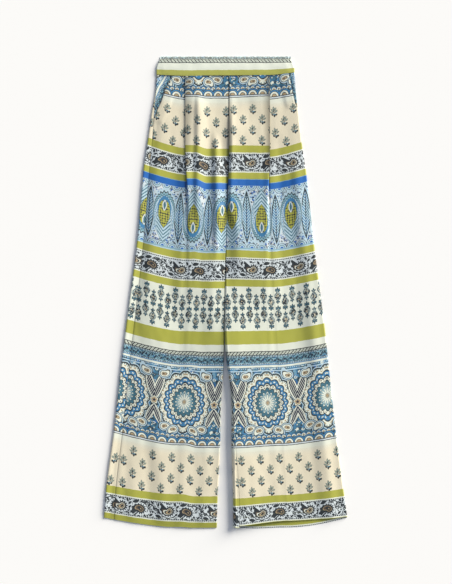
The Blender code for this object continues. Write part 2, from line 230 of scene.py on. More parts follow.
# How far out the waistband's two ends lie.
BAND_COLUMNS = ("down", "right_edge", "left_edge")
BAND = (
    (-BAND_HEIGHT - RUFFLE_HEIGHT, 146.6, 147),
    (-BAND_HEIGHT, 148, 146.5),
    (-22, 153.5, 152),
    (-12, 155, 154.5),
    (0, 155, 154.5),
)

# `side` is the sign of X. `hem_drop` is how much further down the back's hem hangs, at the inner edge, the
# middle and the outer edge. `drop` says between which shares of the way from the pleat to the inner edge the
# cross line falls, `edge_ease` and `inner_ease` how far from its edges the cloth comes down, `hem_rest` what
# share of its height it keeps at the hem, and `pleat_shade` how dark the painted shade at the pleat's foot
# is.
LEGS = {
    "right": {"side": -1, "rows": RIGHT_LEG, "tops": RIGHT_TOPS, "folds": RIGHT_FOLDS, "mouth": RIGHT_MOUTH,
              "pocket_foot": 112, "hem": CUT_LENGTH, "seam_rise": 0.0, "hem_drop": (0, 0, 0),
              "drop": (0.2, 0.5), "edge_ease": 16, "inner_ease": 90, "hem_rest": 0.3, "pleat_shade": 0.6},
    "left": {"side": 1, "rows": LEFT_LEG, "tops": LEFT_TOPS, "folds": LEFT_FOLDS, "mouth": LEFT_MOUTH,
             "pocket_foot": 68, "hem": 1007, "seam_rise": 1.3, "hem_drop": (2, 14.5, 2),
             "drop": (0, 1), "edge_ease": 36, "inner_ease": 190, "hem_rest": 1.0, "pleat_shade": 1.1},
}

# ------------------------------------------------------------
# Sizes of the print, in millimetres. One repeat runs PRINT_REPEAT along the leg.

PRINT_START = 235         # `down` of the first whole repeat
PRINT_REPEAT = 785
BAND_PRINT = 593          # place in the print of the waistband's lower edge, whose print runs upwards
GATHERED_PRINT = 593      # the same for the gathered back waistband
POCKET_PRINT = 640        # place in the print at a pocket's mouth, whose print runs along the mouth

# Places in the repeat that more than one formula needs: where a border starts and ends, its middle or foot.
ALMOND_FOOT = 151.5
VINES = ((178, 218.5), (731.5, 766.5))
VINE_MIDDLES = (199, 749)
DOTTED_LINES = (176.8, 219.2, 730.8, 767.2)
BUDS = (239, 340)
ROPE = (387.2, 394)
WAVES = (398.5, 412.4)
MEDALLION_FOOT = 594
SPRIG_FADE = (600, 626)
SPRIGS_END = 711

# ------------------------------------------------------------
# The stage: linear colours of the floor, a warm key and a cool sky, and how far the camera stands from above
# the garment's middle, in metres.

FLOOR_COLOUR = (0.94, 0.94, 0.935)
KEY_COLOUR = (1.087, 1.027, 0.917)
SKY_COLOUR = (0.86, 0.94, 1.10)
CAMERA_SHIFT = (0.0011, 0.0006)


# ------------------------------------------------------------
# Settings


def tint(red, green, blue):
    """A colour picked as display values from 0 to 255, as linear light."""
    def linear(value):
        value = value / 255
        return value / 12.92 if value <= 0.04045 else ((value + 0.055) / 1.055) ** 2.4
    return (linear(red), linear(green), linear(blue))


def dye(name, description, red, green, blue):
    return FloatVectorProperty(name=name, description=description, subtype="COLOR", size=3,
                               default=tint(red, green, blue), min=0, max=1)


class PantsClothSettings(bpy.types.PropertyGroup):
    """Sizes of the cloth and its sewing."""
    wall: FloatProperty(name="Wall", description="Thickness of a single cloth wall",
                        default=0.0008, min=0.0003, max=0.0012, unit="LENGTH")
    band_wall: FloatProperty(name="Band wall", description="Thickness of the doubled front waistband",
                             default=0.0018, min=0.0006, max=0.0024, unit="LENGTH")
    row_step: FloatProperty(name="Row step", description="Length of one row of faces along a leg",
                            default=0.005, min=0.002, max=0.04, unit="LENGTH")
    loft: FloatProperty(name="Loft", description="How far the front lies above the back between its edges",
                        default=0.0012, min=0, max=0.004, unit="LENGTH")
    fold_strength: FloatProperty(name="Fold strength", description="Scales the height of the soft folds",
                                 default=1.0, min=0, max=1.6, subtype="FACTOR")
    rumple: FloatProperty(name="Rumple", description="Height of the small unevenness of the cloth",
                          default=0.0004, min=0, max=0.001, unit="LENGTH")
    gathers: IntProperty(name="Gathers", description="Waves along the elasticated back waistband",
                         default=96, min=20, max=140)
    gather_lift: FloatProperty(name="Gather lift", description="Height of a wave at the gathered edge",
                               default=0.0022, min=0, max=0.004, unit="LENGTH")
    stitch_length: FloatProperty(name="Stitch length", description="Length of one stitch",
                                 default=0.0024, min=0.001, max=0.006, unit="LENGTH")
    stitch_pitch: FloatProperty(name="Stitch pitch", description="From one stitch to the next",
                                default=0.0032, min=0.0015, max=0.01, unit="LENGTH")
    thread: FloatProperty(name="Thread", description="Thickness of the sewing thread",
                          default=0.00035, min=0.0001, max=0.001, unit="LENGTH")


class PantsDyeSettings(bpy.types.PropertyGroup):
    """Colours of the print."""
    green: dye("Green", "Stripes, hems and hearts of the almond leaves", 167, 168, 64)
    beige: dye("Beige", "Ground of the sprigs", 229, 221, 196)
    cream: dye("Cream", "Ground of the diamond buds and medallion bands", 221, 226, 212)
    white: dye("White", "Ground of the vine borders", 207, 217, 221)
    frost: dye("Frost", "Palest blue", 178, 204, 217)
    sky: dye("Sky", "Pale blue", 130, 170, 184)
    teal: dye("Teal", "Leaf tufts and washes", 58, 106, 124)
    blue: dye("Blue", "Main blue of the panels", 54, 120, 166)
    royal: dye("Royal", "The plain royal blue stripe and small blue leaves", 12, 96, 178)
    navy: dye("Navy", "Dark leaves and buds", 26, 34, 58)
    line: dye("Line", "Drawn outlines", 34, 42, 46)
    leaf: dye("Leaf", "Leaves of the sprigs", 146, 162, 150)
    tan: dye("Tan", "Hearts of the vine's paisleys", 172, 152, 118)
    brown: dye("Brown", "Rings of the vine's paisleys", 92, 78, 64)


class PantsStageSettings(bpy.types.PropertyGroup):
    """Camera, light and floor."""
    frame_height: FloatProperty(name="Frame height", description="What the camera sees from top to bottom",
                                default=1.317, min=0.5, max=4, unit="LENGTH")
    distance: FloatProperty(name="Distance", description="Height of the camera above the surface",
                            default=4.0, min=1, max=10, unit="LENGTH")
    key_strength: FloatProperty(name="Key strength", description="Strength of the soft key light",
                                default=6.1, min=0, max=20)
    key_height: FloatProperty(name="Key height", description="Angle of the key light above the surface",
                              default=math.radians(20.5), min=0.1, max=1.57, unit="ROTATION")
    key_turn: FloatProperty(name="Key turn", description="Turn of the key light from the right to the top",
                            default=math.radians(38), min=-3.15, max=3.15, unit="ROTATION")
    key_spread: FloatProperty(name="Key spread", description="How wide the soft key light looks",
                              default=math.radians(36), min=0, max=3.1, unit="ROTATION")
    sky_strength: FloatProperty(name="Sky strength", description="Strength of the even light from all round",
                                default=0.345, min=0, max=4)


# ------------------------------------------------------------
# The shape of the cloth


def ease(value):
    """Smooth step from 0 to 1."""
    t = clamp(value)
    return t * t * (3 - 2 * t)


def mix(a, b, t):
    return a + (b - a) * t


def spaced(first, last, count):
    return [mix(first, last, i / (count - 1)) for i in range(count)]


def clamp(value):
    return min(max(value, 0.0), 1.0)


def levels(last, step):
    """Levels of the rows of faces."""
    return spaced(0, last, max(round(last / step), 4) + 1)


def lengths_along(points, start=0.0):
    """How far along a line through points (x, z) each of them lies."""
    lengths = [start]
    for (x_a, z_a), (x_b, z_b) in zip(points, points[1:]):
        lengths.append(lengths[-1] + math.hypot(x_b - x_a, z_b - z_a))
    return lengths


def read(table, columns, down):
    """The named values of a table at one level, along a smooth curve through its rows."""
    downs = [row[0] for row in table]
    place = min(max(down, downs[0]), downs[-1])
    k = max(i for i in range(len(downs) - 1) if downs[i] <= place)
    span = downs[k + 1] - downs[k]
    t = (place - downs[k]) / span
    values = {"down": down}
    for column, label in list(enumerate(columns))[1:]:
        start, end = table[k][column], table[k + 1][column]
        slopes = []
        for i in (k, k + 1):
            low, high = max(i - 1, 0), min(i + 1, len(downs) - 1)
            slope = (table[high][column] - table[low][column]) / (downs[high] - downs[low])
            slopes.append(slope * span)
        values[label] = (start * (2 * t ** 3 - 3 * t ** 2 + 1) + slopes[0] * (t ** 3 - 2 * t ** 2 + t)
                         + end * (3 * t ** 2 - 2 * t ** 3) + slopes[1] * (t ** 3 - t ** 2))
    return values


class LegShape:
    """Works out where the cloth of one leg lies."""

    def __init__(self, leg, cloth):
        self.leg = leg
        self.side = leg["side"]
        self.hem = leg["hem"]
        self.wall = cloth.wall / MM
        self.loft = cloth.loft / MM
        self.rumple = cloth.rumple / MM
        self.strength = cloth.fold_strength
        self.back_rest = self.wall / 2
        self.front_rest = self.wall + GAP + self.wall / 2
        self.inner_clear = GAP / 2 + self.wall / 2
        self.folds = [dict(zip(FOLD_COLUMNS, fold)) for fold in leg["folds"]]

    def row(self, down):
        row = read(self.leg["rows"], LEG_COLUMNS, down)
        middle = read(MIDDLE, MIDDLE_COLUMNS, down)
        row["inner"] = self.side * middle["line"] + max(middle["parting"], 0.0)
        row["roll_edge"] = max(row["roll_edge"], 0.0)
        row["roll_inner"] = max(row["roll_inner"], 0.0)
        row["mouth"] = self.mouth_cut(down)
        row["fork"] = 1.0 if down > CROTCH else 0.0
        tops = read(self.leg["tops"], TOP_COLUMNS, down)
        row["settle"] = mix(self.leg["hem_rest"], 1, ease((self.hem - down) / HEM_SETTLE))
        for edge in ("edge", "inner"):
            row[edge + "_top"] = mix(self.front_rest, tops[edge + "_top"], row["settle"])
            row[edge + "_radius"] = (row[edge + "_top"] - self.back_rest) / 2
            row[edge + "_quarter"] = row[edge + "_radius"] * math.pi / 2
        return row

    def mouth_cut(self, down):
        table = self.leg["mouth"]
        for (top, wide), (foot, narrow) in zip(table, table[1:]):
            if down <= foot:
                return mix(wide, narrow, (down - top) / (foot - top))
        return 0.0

    def bed(self, row, out):
        """Height of a cloth that lies on the back: low inside, and up at the leg's edges."""
        by_edge = 1 - ease((row["edge"] - out) / self.leg["edge_ease"])
        by_inner = row["fork"] * (1 - clamp((out - row["inner"]) / self.leg["inner_ease"])) ** INNER_FALL
        return (self.front_rest + (row["edge_top"] - self.front_rest) * by_edge
                + (row["inner_top"] - self.front_rest) * by_inner)

    def folded(self, row, out):
        """Height that the soft folds add."""
        total = self.loft
        for fold in self.folds:
            run = (fold["down_b"] - fold["down_a"], fold["out_b"] - fold["out_a"])
            away = (row["down"] - fold["down_a"], out - fold["out_a"])
            along = (away[0] * run[0] + away[1] * run[1]) / (run[0] ** 2 + run[1] ** 2)
            if not 0 < along < 1:
                continue
            across = away[1] - run[1] * along
            across = abs(across) / fold["outward" if across > 0 else "inward"]
            if across < 1:
                taper = ease(FOLD_TAPER * along) * ease(FOLD_TAPER * (1 - along))
                total += fold["height"] * self.strength * (1 - ease(across)) * taper
        for across, along, share, seed in RUMPLES:
            spot = Vector((self.side * out / across, row["down"] / along, seed))
            total += self.rumple * share * noise.noise(spot)
        from_edge = ease((row["edge"] - out) / FOLD_EASE)
        beside = mix(SEAM_EASE, FOLD_EASE, ease((row["down"] - CROTCH) / FORK_EASE))
        left_at_seam = CENTRE_RISE * ease((CROTCH - row["down"]) / CENTRE_EASE)
        from_inner = mix(left_at_seam, 1, ease((out - row["inner"]) / beside))
        from_waist = ease(row["down"] / WAIST_EASE)
        return total * from_edge * from_inner * from_waist * row["settle"]

    def front_height(self, row, out):
        """Height of the front cloth before its pleat is added."""
        reach = row["roll_edge"] + row["mouth"] + POCKET_UNDER
        over_pocket = 1 - ease((row["edge"] - out - reach - 1) / POCKET_STEP)
        over_pocket *= 1 - ease((row["down"] - self.leg["pocket_foot"]) / POCKET_FADE)
        centre_front = (1 - row["fork"]) * (1 - ease((out - row["inner"]) / SEAM_RIDGE))
        return (self.bed(row, out) + POCKET_RAISE * over_pocket + self.folded(row, out)
                + self.leg["seam_rise"] * centre_front)

    def turned(self, radius, q):
        """How far in and how high a point of a rolled wall's turn lies, q along it from the very edge."""
        angle = q / radius
        return radius * (1 - math.cos(angle)), self.back_rest + radius * (1 + math.sin(angle))

    def edge_point(self, row, q, height):
        """A point of the wall that rolls round a leg's outer edge, q along the cloth from the very edge:
        positive on the front, negative underneath."""
        radius, quarter = row["edge_radius"], row["edge_quarter"]
        if abs(q) <= quarter:
            inward, z = self.turned(radius, q)
            return (row["edge"] - inward, z)
        out = row["edge"] - radius - (abs(q) - quarter)
        if q < 0:
            return (out, self.back_rest)
        groove = 1 - ease(abs(q - row.get("roll_edge", 0.0) - row.get("mouth", 0.0)) / SEAM_GROOVE_REACH)
        return (out, height(out) - SEAM_GROOVE * groove)

    def inner_point(self, row, q, height):
        """The same round a leg's inner edge below the fork. Above it the cloth ends at the centre seam."""
        if row["fork"] < 0.5:
            out = row["inner"] + max(abs(q), GAP / 2)
            return (out, height(out) if q > 0 else self.back_rest)
        radius, quarter = row["inner_radius"], row["inner_quarter"]
        start = row["inner"] + self.inner_clear
        if abs(q) <= quarter:
            inward, z = self.turned(radius, q)
            return (start + inward, z)
        out = start + radius + (abs(q) - quarter)
        return (out, height(out) if q > 0 else self.back_rest)

    def front_section(self, down):
        """Centre line of the front at one level, from its outer seam to its inner seam."""
        row = self.row(down)
        pleat = read(PLEAT, PLEAT_COLUMNS, down)

        def height(out):
            return self.front_height(row, out)

        start = row["roll_edge"] + row["mouth"] + GAP / 2
        end_q = max(start, row["edge_quarter"]) + PAST_TURN
        points = [self.edge_point(row, q, height) for q in spaced(start, end_q, EDGE_POINTS)]
        for out in spaced(points[-1][0], row["fold"], SIDE_POINTS)[1:]:
            points.append((out, height(out)))
        side_count = len(points)
        foot = height(row["fold"])
        for reach, rise in pleat_path(pleat["depth"], min(pleat["turn"], 180)):
            points.append((row["fold"] - reach, foot + rise))
        fold_end, top = points[-1]
        step = top - height(fold_end)
        finish = row["roll_inner"] + GAP / 2
        end_q = max(finish, row["inner_quarter"]) + PAST_TURN

        def over(out):
            fade = 1 - ease((fold_end - out) / (0.7 * (fold_end - row["inner"])))
            return height(out) + step * fade

        last_out = self.inner_point(row, end_q, over)[0]
        for out in spaced(fold_end, last_out, CENTRE_POINTS)[1:-1]:
            points.append((out, over(out)))
        points += [self.inner_point(row, q, over) for q in spaced(end_q, finish, EDGE_POINTS)]
        return row, points, side_count

    def front_lift(self, row, out, on_side):
        """How far the cloth's cross line is lifted at a distance out, on one side of the pleat."""
        if on_side:
            across = (row["edge"] - out) / (row["edge"] - row["fold"])
            return mix(row["lift_side"], row["lift_edge"], (1 - clamp(across)) ** 1.4)
        across = (row["fold"] - out) / (row["fold"] - row["inner"])
        first, last = self.leg["drop"]
        return mix(row["lift_centre"], row["lift_inner"], ease((across - first) / (last - first)))

    def back_lift(self, row, out):
        """The same for the back, which has no pleat."""
        plain = dict(row)
        plain["lift_side"] = plain["lift_centre"] = (row["lift_side"] + row["lift_centre"]) / 2
        return self.front_lift(plain, out, out > row["fold"])

    def front_row(self, down):
        """One row of the front's points, as (x, y, z, u, v)."""
        row, section, side_count = self.front_section(down)
        lifts = [self.front_lift(row, out, i <= side_count + FOLD_STEPS)
                 for i, (out, z) in enumerate(section)]
        return self.placed(row, section, lifts, row["axis"], first=side_count)

    def front_shade_marks(self, line):
        """How dark the painted shade of the seams' dark lines and of the pleat's foot makes each point of a
        front row.
        """
        down = line[0][4]
        seams = seam_shade_marks(line, 0.3, 0.85 if down < CROTCH else 0.2)
        pressed = min(read(PLEAT, PLEAT_COLUMNS, down)["turn"] / 100, 1)
        foot = pleat_shade_marks(line, self.side, self.row(down)["fold"], self.leg["pleat_shade"] * pressed)
        return [max(pair) for pair in zip(seams, foot)]

    def back_row(self, down):
        """One row of the back's points, as (x, y, z, u, v)."""
        row = self.row(down)

        def height(out):
            return self.bed(row, out) + self.folded(row, out)

        section = [self.inner_point(row, q, height) for q in
                   seam_parameters(row["roll_inner"], row["inner_quarter"])]
        outer = [self.edge_point(row, q, height) for q in
                 reversed(seam_parameters(row["roll_edge"], row["edge_quarter"]))]
        for out in spaced(section[-1][0], outer[0][0], BACK_POINTS)[1:-1]:
            section.append((out, self.back_rest))
        section += outer
        drop = self.hem_drop(row)
        rolled = row["roll_edge"] > row["edge_quarter"] + 1
        lifts = []
        for i, (out, z) in enumerate(section):
            on_front = rolled and i >= len(section) - ROLLED_POINTS
            lift = self.front_lift(row, out, True) if on_front else self.back_lift(row, out)
            lifts.append(lift - drop(out))
        return self.placed(row, section, lifts, row["axis"], inwards=False)

    def hem_drop(self, row):
        """How much further down a back hem hangs, as a function of the distance out."""
        near_hem = ease((row["down"] - self.hem + HEM_DROP_REACH) / HEM_DROP_REACH)
        inner, middle, edge = (value * near_hem for value in self.leg["hem_drop"])

        def drop(out):
            t = clamp((out - row["inner"]) / (row["edge"] - row["inner"]))
            return inner * (1 - t) * (1 - 2 * t) + 4 * middle * t * (1 - t) + edge * t * (2 * t - 1)

        return drop

    def pocket_rows(self):
        """The rows of the side piece in the pocket mouth."""
        rows = []
        for down in levels(self.leg["pocket_foot"], POCKET_ROW):
            row = self.row(down)

            def height(out):
                return self.bed(row, out)

            start = row["roll_edge"] + GAP / 2
            reach = start + row["mouth"] + POCKET_UNDER
            knee = max(start, row["edge_quarter"]) + PAST_TURN
            section = [self.edge_point(row, q, height) for q in spaced(start, knee, 5)]
            section += [self.edge_point(row, q, height) for q in spaced(knee, reach, 14)[1:]]
            lifts = [self.front_lift(row, out, True) for out, z in section]
            rows.append(self.placed(row, section, lifts, row["edge"] - row["mouth"]))
        return rows

    def placed(self, row, section, lifts, axis, first=0, inwards=True):
        """One row of points with their place in the print: across from its axis, and down. The axis is
        looked for from the last point back to the first that counts."""
        lengths = lengths_along(section)
        at_axis = lengths[-1] / 2
        for i in reversed(range(first, len(section) - 1)):
            a, b = section[i][0], section[i + 1][0]
            if min(a, b) <= axis <= max(a, b) and a != b:
                at_axis = mix(lengths[i], lengths[i + 1], (axis - a) / (b - a))
                break
        turn = -self.side if inwards else self.side
        down = row["down"]
        return [(self.side * out, SEAM_FROM_CENTRE - down + lift, z, turn * (length - at_axis), down)
                for (out, z), lift, length in zip(section, lifts, lengths)]


def seam_parameters(roll, quarter):
    """Places along a back panel's end, from its seam round the edge and onto the surface, with
    ROLLED_POINTS before the edge's turn."""
    seam = roll - GAP / 2 if roll > 0 else -GAP / 2
    if seam > quarter + 1:
        near = min(seam - quarter, 2.4)
        half = ROLLED_POINTS // 2
        return (spaced(seam, seam - near, half) + spaced(seam - near, quarter, half + 1)[1:]
                + spaced(quarter, -quarter, 10)[1:] + [-quarter - PAST_TURN])
    return spaced(seam, -quarter - PAST_TURN, 2 * ROLLED_POINTS)


def pleat_path(depth, turn):
    """Inward distance and rise along a pleat: under, round, back, round and over."""
    reach, rise, heading = 0.0, 0.0, 0.0
    path = []
    step_turn = turn / FOLD_STEPS
    radius = FOLD_RADIUS * (180 / turn) ** 1.5
    chord = 2 * radius * math.sin(math.radians(step_turn / 2))
    moves = [(depth, 0)]
    for direction in (1, -1):
        moves += [(chord, direction * step_turn)] * FOLD_STEPS
        moves.append((depth, 0))
    for length, degrees in moves:
        middle = math.radians(heading + degrees / 2)
        reach += length * math.cos(middle)
        rise += length * math.sin(middle)
        heading += degrees
        path.append((reach, rise))
    return path


def headings(line):
    """The direction of a centre line at each of its points, in the plane across the legs, and how much
    further out the wall's corner lies where the line bends."""
    spans = [math.atan2(b[2] - a[2], b[0] - a[0]) for a, b in zip(line, line[1:])]
    turns = [math.remainder(b - a, 2 * math.pi) for a, b in zip(spans, spans[1:])]
    angles = [spans[0] - turns[0] / 2]
    angles += [span + turn / 2 for span, turn in zip(spans, turns)]
    angles.append(spans[-1] + turns[-1] / 2)
    stretches = [1.0] + [min(1 / math.cos(turn / 2), 1.2) for turn in turns] + [1.0]
    return zip(angles, stretches)


def seam_shade_marks(line, first, last):
    """How dark the dark lines of the seams at a row's two ends, with their painted shade, make each of its
    points.
    """
    lengths = lengths_along([(x, z) for x, y, z, u, v in line])
    return [first * ease(1.5 - 1.5 * length / SEAM_SHADE_REACH)
            + last * ease(1.5 - 1.5 * (lengths[-1] - length) / SEAM_SHADE_REACH) for length in lengths]


def pleat_shade_marks(line, side, fold, strength):
    """How dark the painted shade at the pleat's foot, and just above it on the fold's edge, makes each point
    of a row.
    """
    near = [abs(side * point[0] - fold) for point in line]
    heights = [point[2] for point, gap in zip(line, near) if gap < 1.5]
    level = mix(min(heights), max(heights), 0.5)
    marks = []
    for point, gap in zip(line, near):
        # Below half the fold's height the foot gets painted shade; close above it, on the fold's edge,
        # painted shade dims the cloth's highlight.
        mark = ease(1.5 - 1.5 * gap / SEAM_SHADE_REACH) if point[2] <= level else 0.8 * ease(1.6 - gap)
        marks.append(strength * mark)
    return marks


def cloth_wall(name, rows, thickness, turned_hem=None, marks=None):
    """A closed thin wall lofted through rows of (x, y, z, u, v) in millimetres, with its UV map in metres
    and an attribute that holds its painted shade at seam lines and pleat feet. Within HEM_TURN of turned_hem
    its inside shows the turned-up cloth."""
    rings = []
    marks = [marked + marked[::-1] for marked in marks or [[0.0] * len(line) for line in rows]]
    for line in rows:
        outer, inner = [], []
        rising = line[-1][0] > line[0][0]
        for (x, y, z, u, v), (angle, stretch) in zip(line, headings(line)):
            across = -math.sin(angle) * thickness / 2 * stretch
            up = math.cos(angle) * thickness / 2 * stretch
            turned_v = v
            if turned_hem is not None and v > turned_hem - HEM_TURN:
                turned_v = 2 * turned_hem - v
            outer_v, inner_v = (turned_v, v) if rising else (v, turned_v)
            outer.append((x + across, y, max(z + up, 0.0), u, outer_v))
            inner.append((x - across, y, max(z - up, 0.0), u, inner_v))
        rings.append(outer + inner[::-1])
    bm = bmesh.new()
    print_map = bm.loops.layers.uv.new("Print")
    # A float per point: painted shade along the dark seam lines and at the pleats' feet.
    seam_shade_layer = bm.verts.layers.float.new("Seam")
    places = {}
    loops = []
    for ring, marked in zip(rings, marks):
        verts = []
        for (x, y, z, u, v), mark in zip(ring, marked):
            vert = bm.verts.new((x * MM, y * MM, z * MM))
            vert[seam_shade_layer] = mark
            places[vert] = (u * MM, v * MM)
            verts.append(vert)
        loops.append(verts)
    size = len(loops[0])
    half = size // 2
    for upper, lower in zip(loops, loops[1:]):
        for i in range(size):
            n = (i + 1) % size
            bm.faces.new((upper[i], upper[n], lower[n], lower[i]))
    for verts in (loops[0], loops[-1]):
        for i in range(half - 1):
            bm.faces.new((verts[i], verts[i + 1], verts[size - 2 - i], verts[size - 1 - i]))
    bmesh.ops.recalc_face_normals(bm, faces=bm.faces)
    for face in bm.faces:
        for loop in face.loops:
            loop[print_map].uv = places[loop.vert]
    mesh = bpy.data.meshes.new(name)
    bm.to_mesh(mesh)
    bm.free()
    mesh.shade_smooth()
    mesh.set_sharp_from_angle(angle=math.radians(60))
    piece = bpy.data.objects.new(name, mesh)
    bpy.context.scene.collection.objects.link(piece)
    return piece


def flat_size(rows):
    """Greatest width and the length of the flat cut, and its area, in metres."""
    widths = [lengths_along([(x, z) for x, y, z, u, v in line])[-1] * MM for line in rows]
    downs = [line[0][4] * MM for line in rows]
    area = sum((a + b) / 2 * abs(d - c) for a, b, c, d in zip(widths, widths[1:], downs, downs[1:]))
    return (max(widths), abs(downs[-1] - downs[0])), area


# ------------------------------------------------------------
# Waistband


def seam_lift(shapes, x):
    """How far the waistband seam is lifted across the garment."""
    shape = shapes["right"] if x < MIDDLE[0][1] else shapes["left"]
    row = shape.row(0)
    out = shape.side * x
    return shape.front_lift(row, out, out > row["fold"])


def band_section(shape, down, top, count):
    """Centre line of a waistband across the garment, with both ends rolled to the middle of the edge."""
    band = read(BAND, BAND_COLUMNS, down)
    sign = 1 if top else -1
    rest = EDGE_TOP if top else shape.back_rest
    ends = []
    radius = (EDGE_TOP - shape.back_rest) / 2
    quarter = radius * math.pi / 2
    for side, edge in ((-1, band["right_edge"]), (1, band["left_edge"])):
        row = {"edge": edge, "edge_radius": radius, "edge_quarter": quarter}
        turned = [shape.edge_point(row, sign * q, lambda out: rest)
                  for q in spaced(GAP / 2, quarter + 1.5, EDGE_POINTS)]
        ends.append([(side * out, z) for out, z in turned])
    first, last = ends[0], ends[1][::-1]
    return first + [(x, rest) for x in spaced(first[-1][0], last[0][0], count)[1:-1]] + last


def from_end(section, i):
    """0 at a waistband's two ends and 1 away from them."""
    return ease((min(i, len(section) - 1 - i) - EDGE_POINTS + 1) / BAND_END_POINTS)


def band_front_rows(shapes):
    """The front waistband, a little uneven where the elastic behind it pulls."""
    rows = []
    for down in spaced(-BAND_HEIGHT, 0, BAND_ROWS):
        section = band_section(shapes["left"], down, True, BAND_POINTS)
        at_seam = 1 + down / BAND_HEIGHT
        line = []
        lengths = lengths_along(section, section[0][0])
        for i, (x, z) in enumerate(section):
            inside = from_end(section, i)
            pull = math.sin(x / 5.1 + 1.3 * noise.noise(Vector((x / 16, 0, 2)))) * (1 - at_seam) ** 2
            swell = 0.9 * (1 - (2 * at_seam - 1) ** 2)
            rise = inside * (0.28 * pull + swell + 0.5 * noise.noise(Vector((x / 28, down / 20, 7))))
            y = SEAM_FROM_CENTRE - down + seam_lift(shapes, x) * at_seam + GAP
            y += 0.35 * inside * pull
            line.append((x, y, z + BAND_LIFT + max(rise, 0), lengths[i], BAND_PRINT - down))
        rows.append(line)
    return rows


def band_back_rows(shapes, gathers, lift):
    """The elasticated back waistband, gathered at its top edge."""
    count = gathers * GATHER_POINTS + 3
    top = -BAND_HEIGHT - RUFFLE_HEIGHT
    rows = []
    for down in [top, top + 1, top + 2.5, top + 4.5, top + 6.5, -BAND_HEIGHT + 2, -20, -10, 0]:
        section = band_section(shapes["left"], down, False, count)
        at_seam = 1 + down / (BAND_HEIGHT + RUFFLE_HEIGHT)
        above = ease((-BAND_HEIGHT + 1 - down) / RUFFLE_HEIGHT)
        line = []
        lengths = lengths_along(section, section[0][0])
        for i, (x, z) in enumerate(section):
            inside = from_end(section, i)
            uneven = 1 + 0.5 * noise.noise(Vector((x / 9, 3, 1)))
            phase = 2 * math.pi * i / GATHER_POINTS + 1.4 * noise.noise(Vector((x / 14, 0, 0)))
            wave = 0.5 - 0.5 * math.cos(phase)
            rise = lift * above * inside * wave * uneven
            scallop = above * inside * ((wave - 0.6) * uneven + 1.5 * noise.noise(Vector((x / 5, 8, 0))))
            y = SEAM_FROM_CENTRE - down + seam_lift(shapes, x) * at_seam + GAP + scallop
            line.append((x, y, z + rise, lengths[i], GATHERED_PRINT - down))
        rows.append(line)
    return rows


# ------------------------------------------------------------
# Nodes


def add_node(tree, kind, inputs=None, **properties):
    """A new node with its properties, whose inputs, by name or number, are sockets to link or values."""
    node = tree.nodes.new(kind)
    for label, value in properties.items():
        setattr(node, label, value)
    for label, value in (inputs or {}).items():
        if isinstance(value, bpy.types.NodeSocket):
            tree.links.new(value, node.inputs[label])
        else:
            node.inputs[label].default_value = value
    return node


def add_sockets(tree, direction, sockets):
    """A group's inputs or outputs, each with its label, its kind and perhaps its default."""
    for label, kind, *default in sockets:
        socket = tree.interface.new_socket(label, in_out=direction, socket_type="NodeSocket" + kind)
        if default:
            socket.default_value = default[0]


# ------------------------------------------------------------
# Sewing


def level_runs(line, lowest):
    """The stretches of a row that lie fairly level, above the lowest height."""
    runs = [[]]
    for a, b in zip(line, line[1:]):
        if abs(b[2] - a[2]) <= LEVEL_SLOPE * abs(b[0] - a[0]) and min(a[2], b[2]) > lowest:
            runs[-1] += [a[:3], b[:3]]
        elif runs[-1]:
            runs.append([])
    return [run for run in runs if len(run) > 3]


def along(line, distance):
    """The point at a distance along a row from its start."""
    for a, b in zip(line, line[1:]):
        step = math.hypot(b[0] - a[0], b[2] - a[2])
        if distance <= step:
            return tuple(mix(a[i], b[i], distance / step) for i in range(3))
        distance -= step
    return line[-1][:3]


def stitch_lines(shapes, wall, band_wall):
    """Lines of stitching on the top of the cloth, in millimetres."""
    lines = []
    for run in level_runs(band_front_rows(shapes)[-2], EDGE_TOP):
        lines.append([(x, y, z + band_wall / 2) for x, y, z in run])
    for shape in shapes.values():
        back = shape.back_row(shape.hem - HEM_STITCH)
        rolled = ROLLED_POINTS - 1
        runs = []
        for line in (shape.front_row(shape.hem - HEM_STITCH), back[:rolled], back[-rolled:]):
            runs += level_runs(line, shape.front_rest)
        mouth = [along(shape.front_row(down), MOUTH_STITCH)
                 for down in spaced(3, shape.leg["pocket_foot"] - 5, MOUTH_POINTS)]
        lines += [[(x, y, z + wall / 2) for x, y, z in run] for run in runs + [mouth]]
    return lines


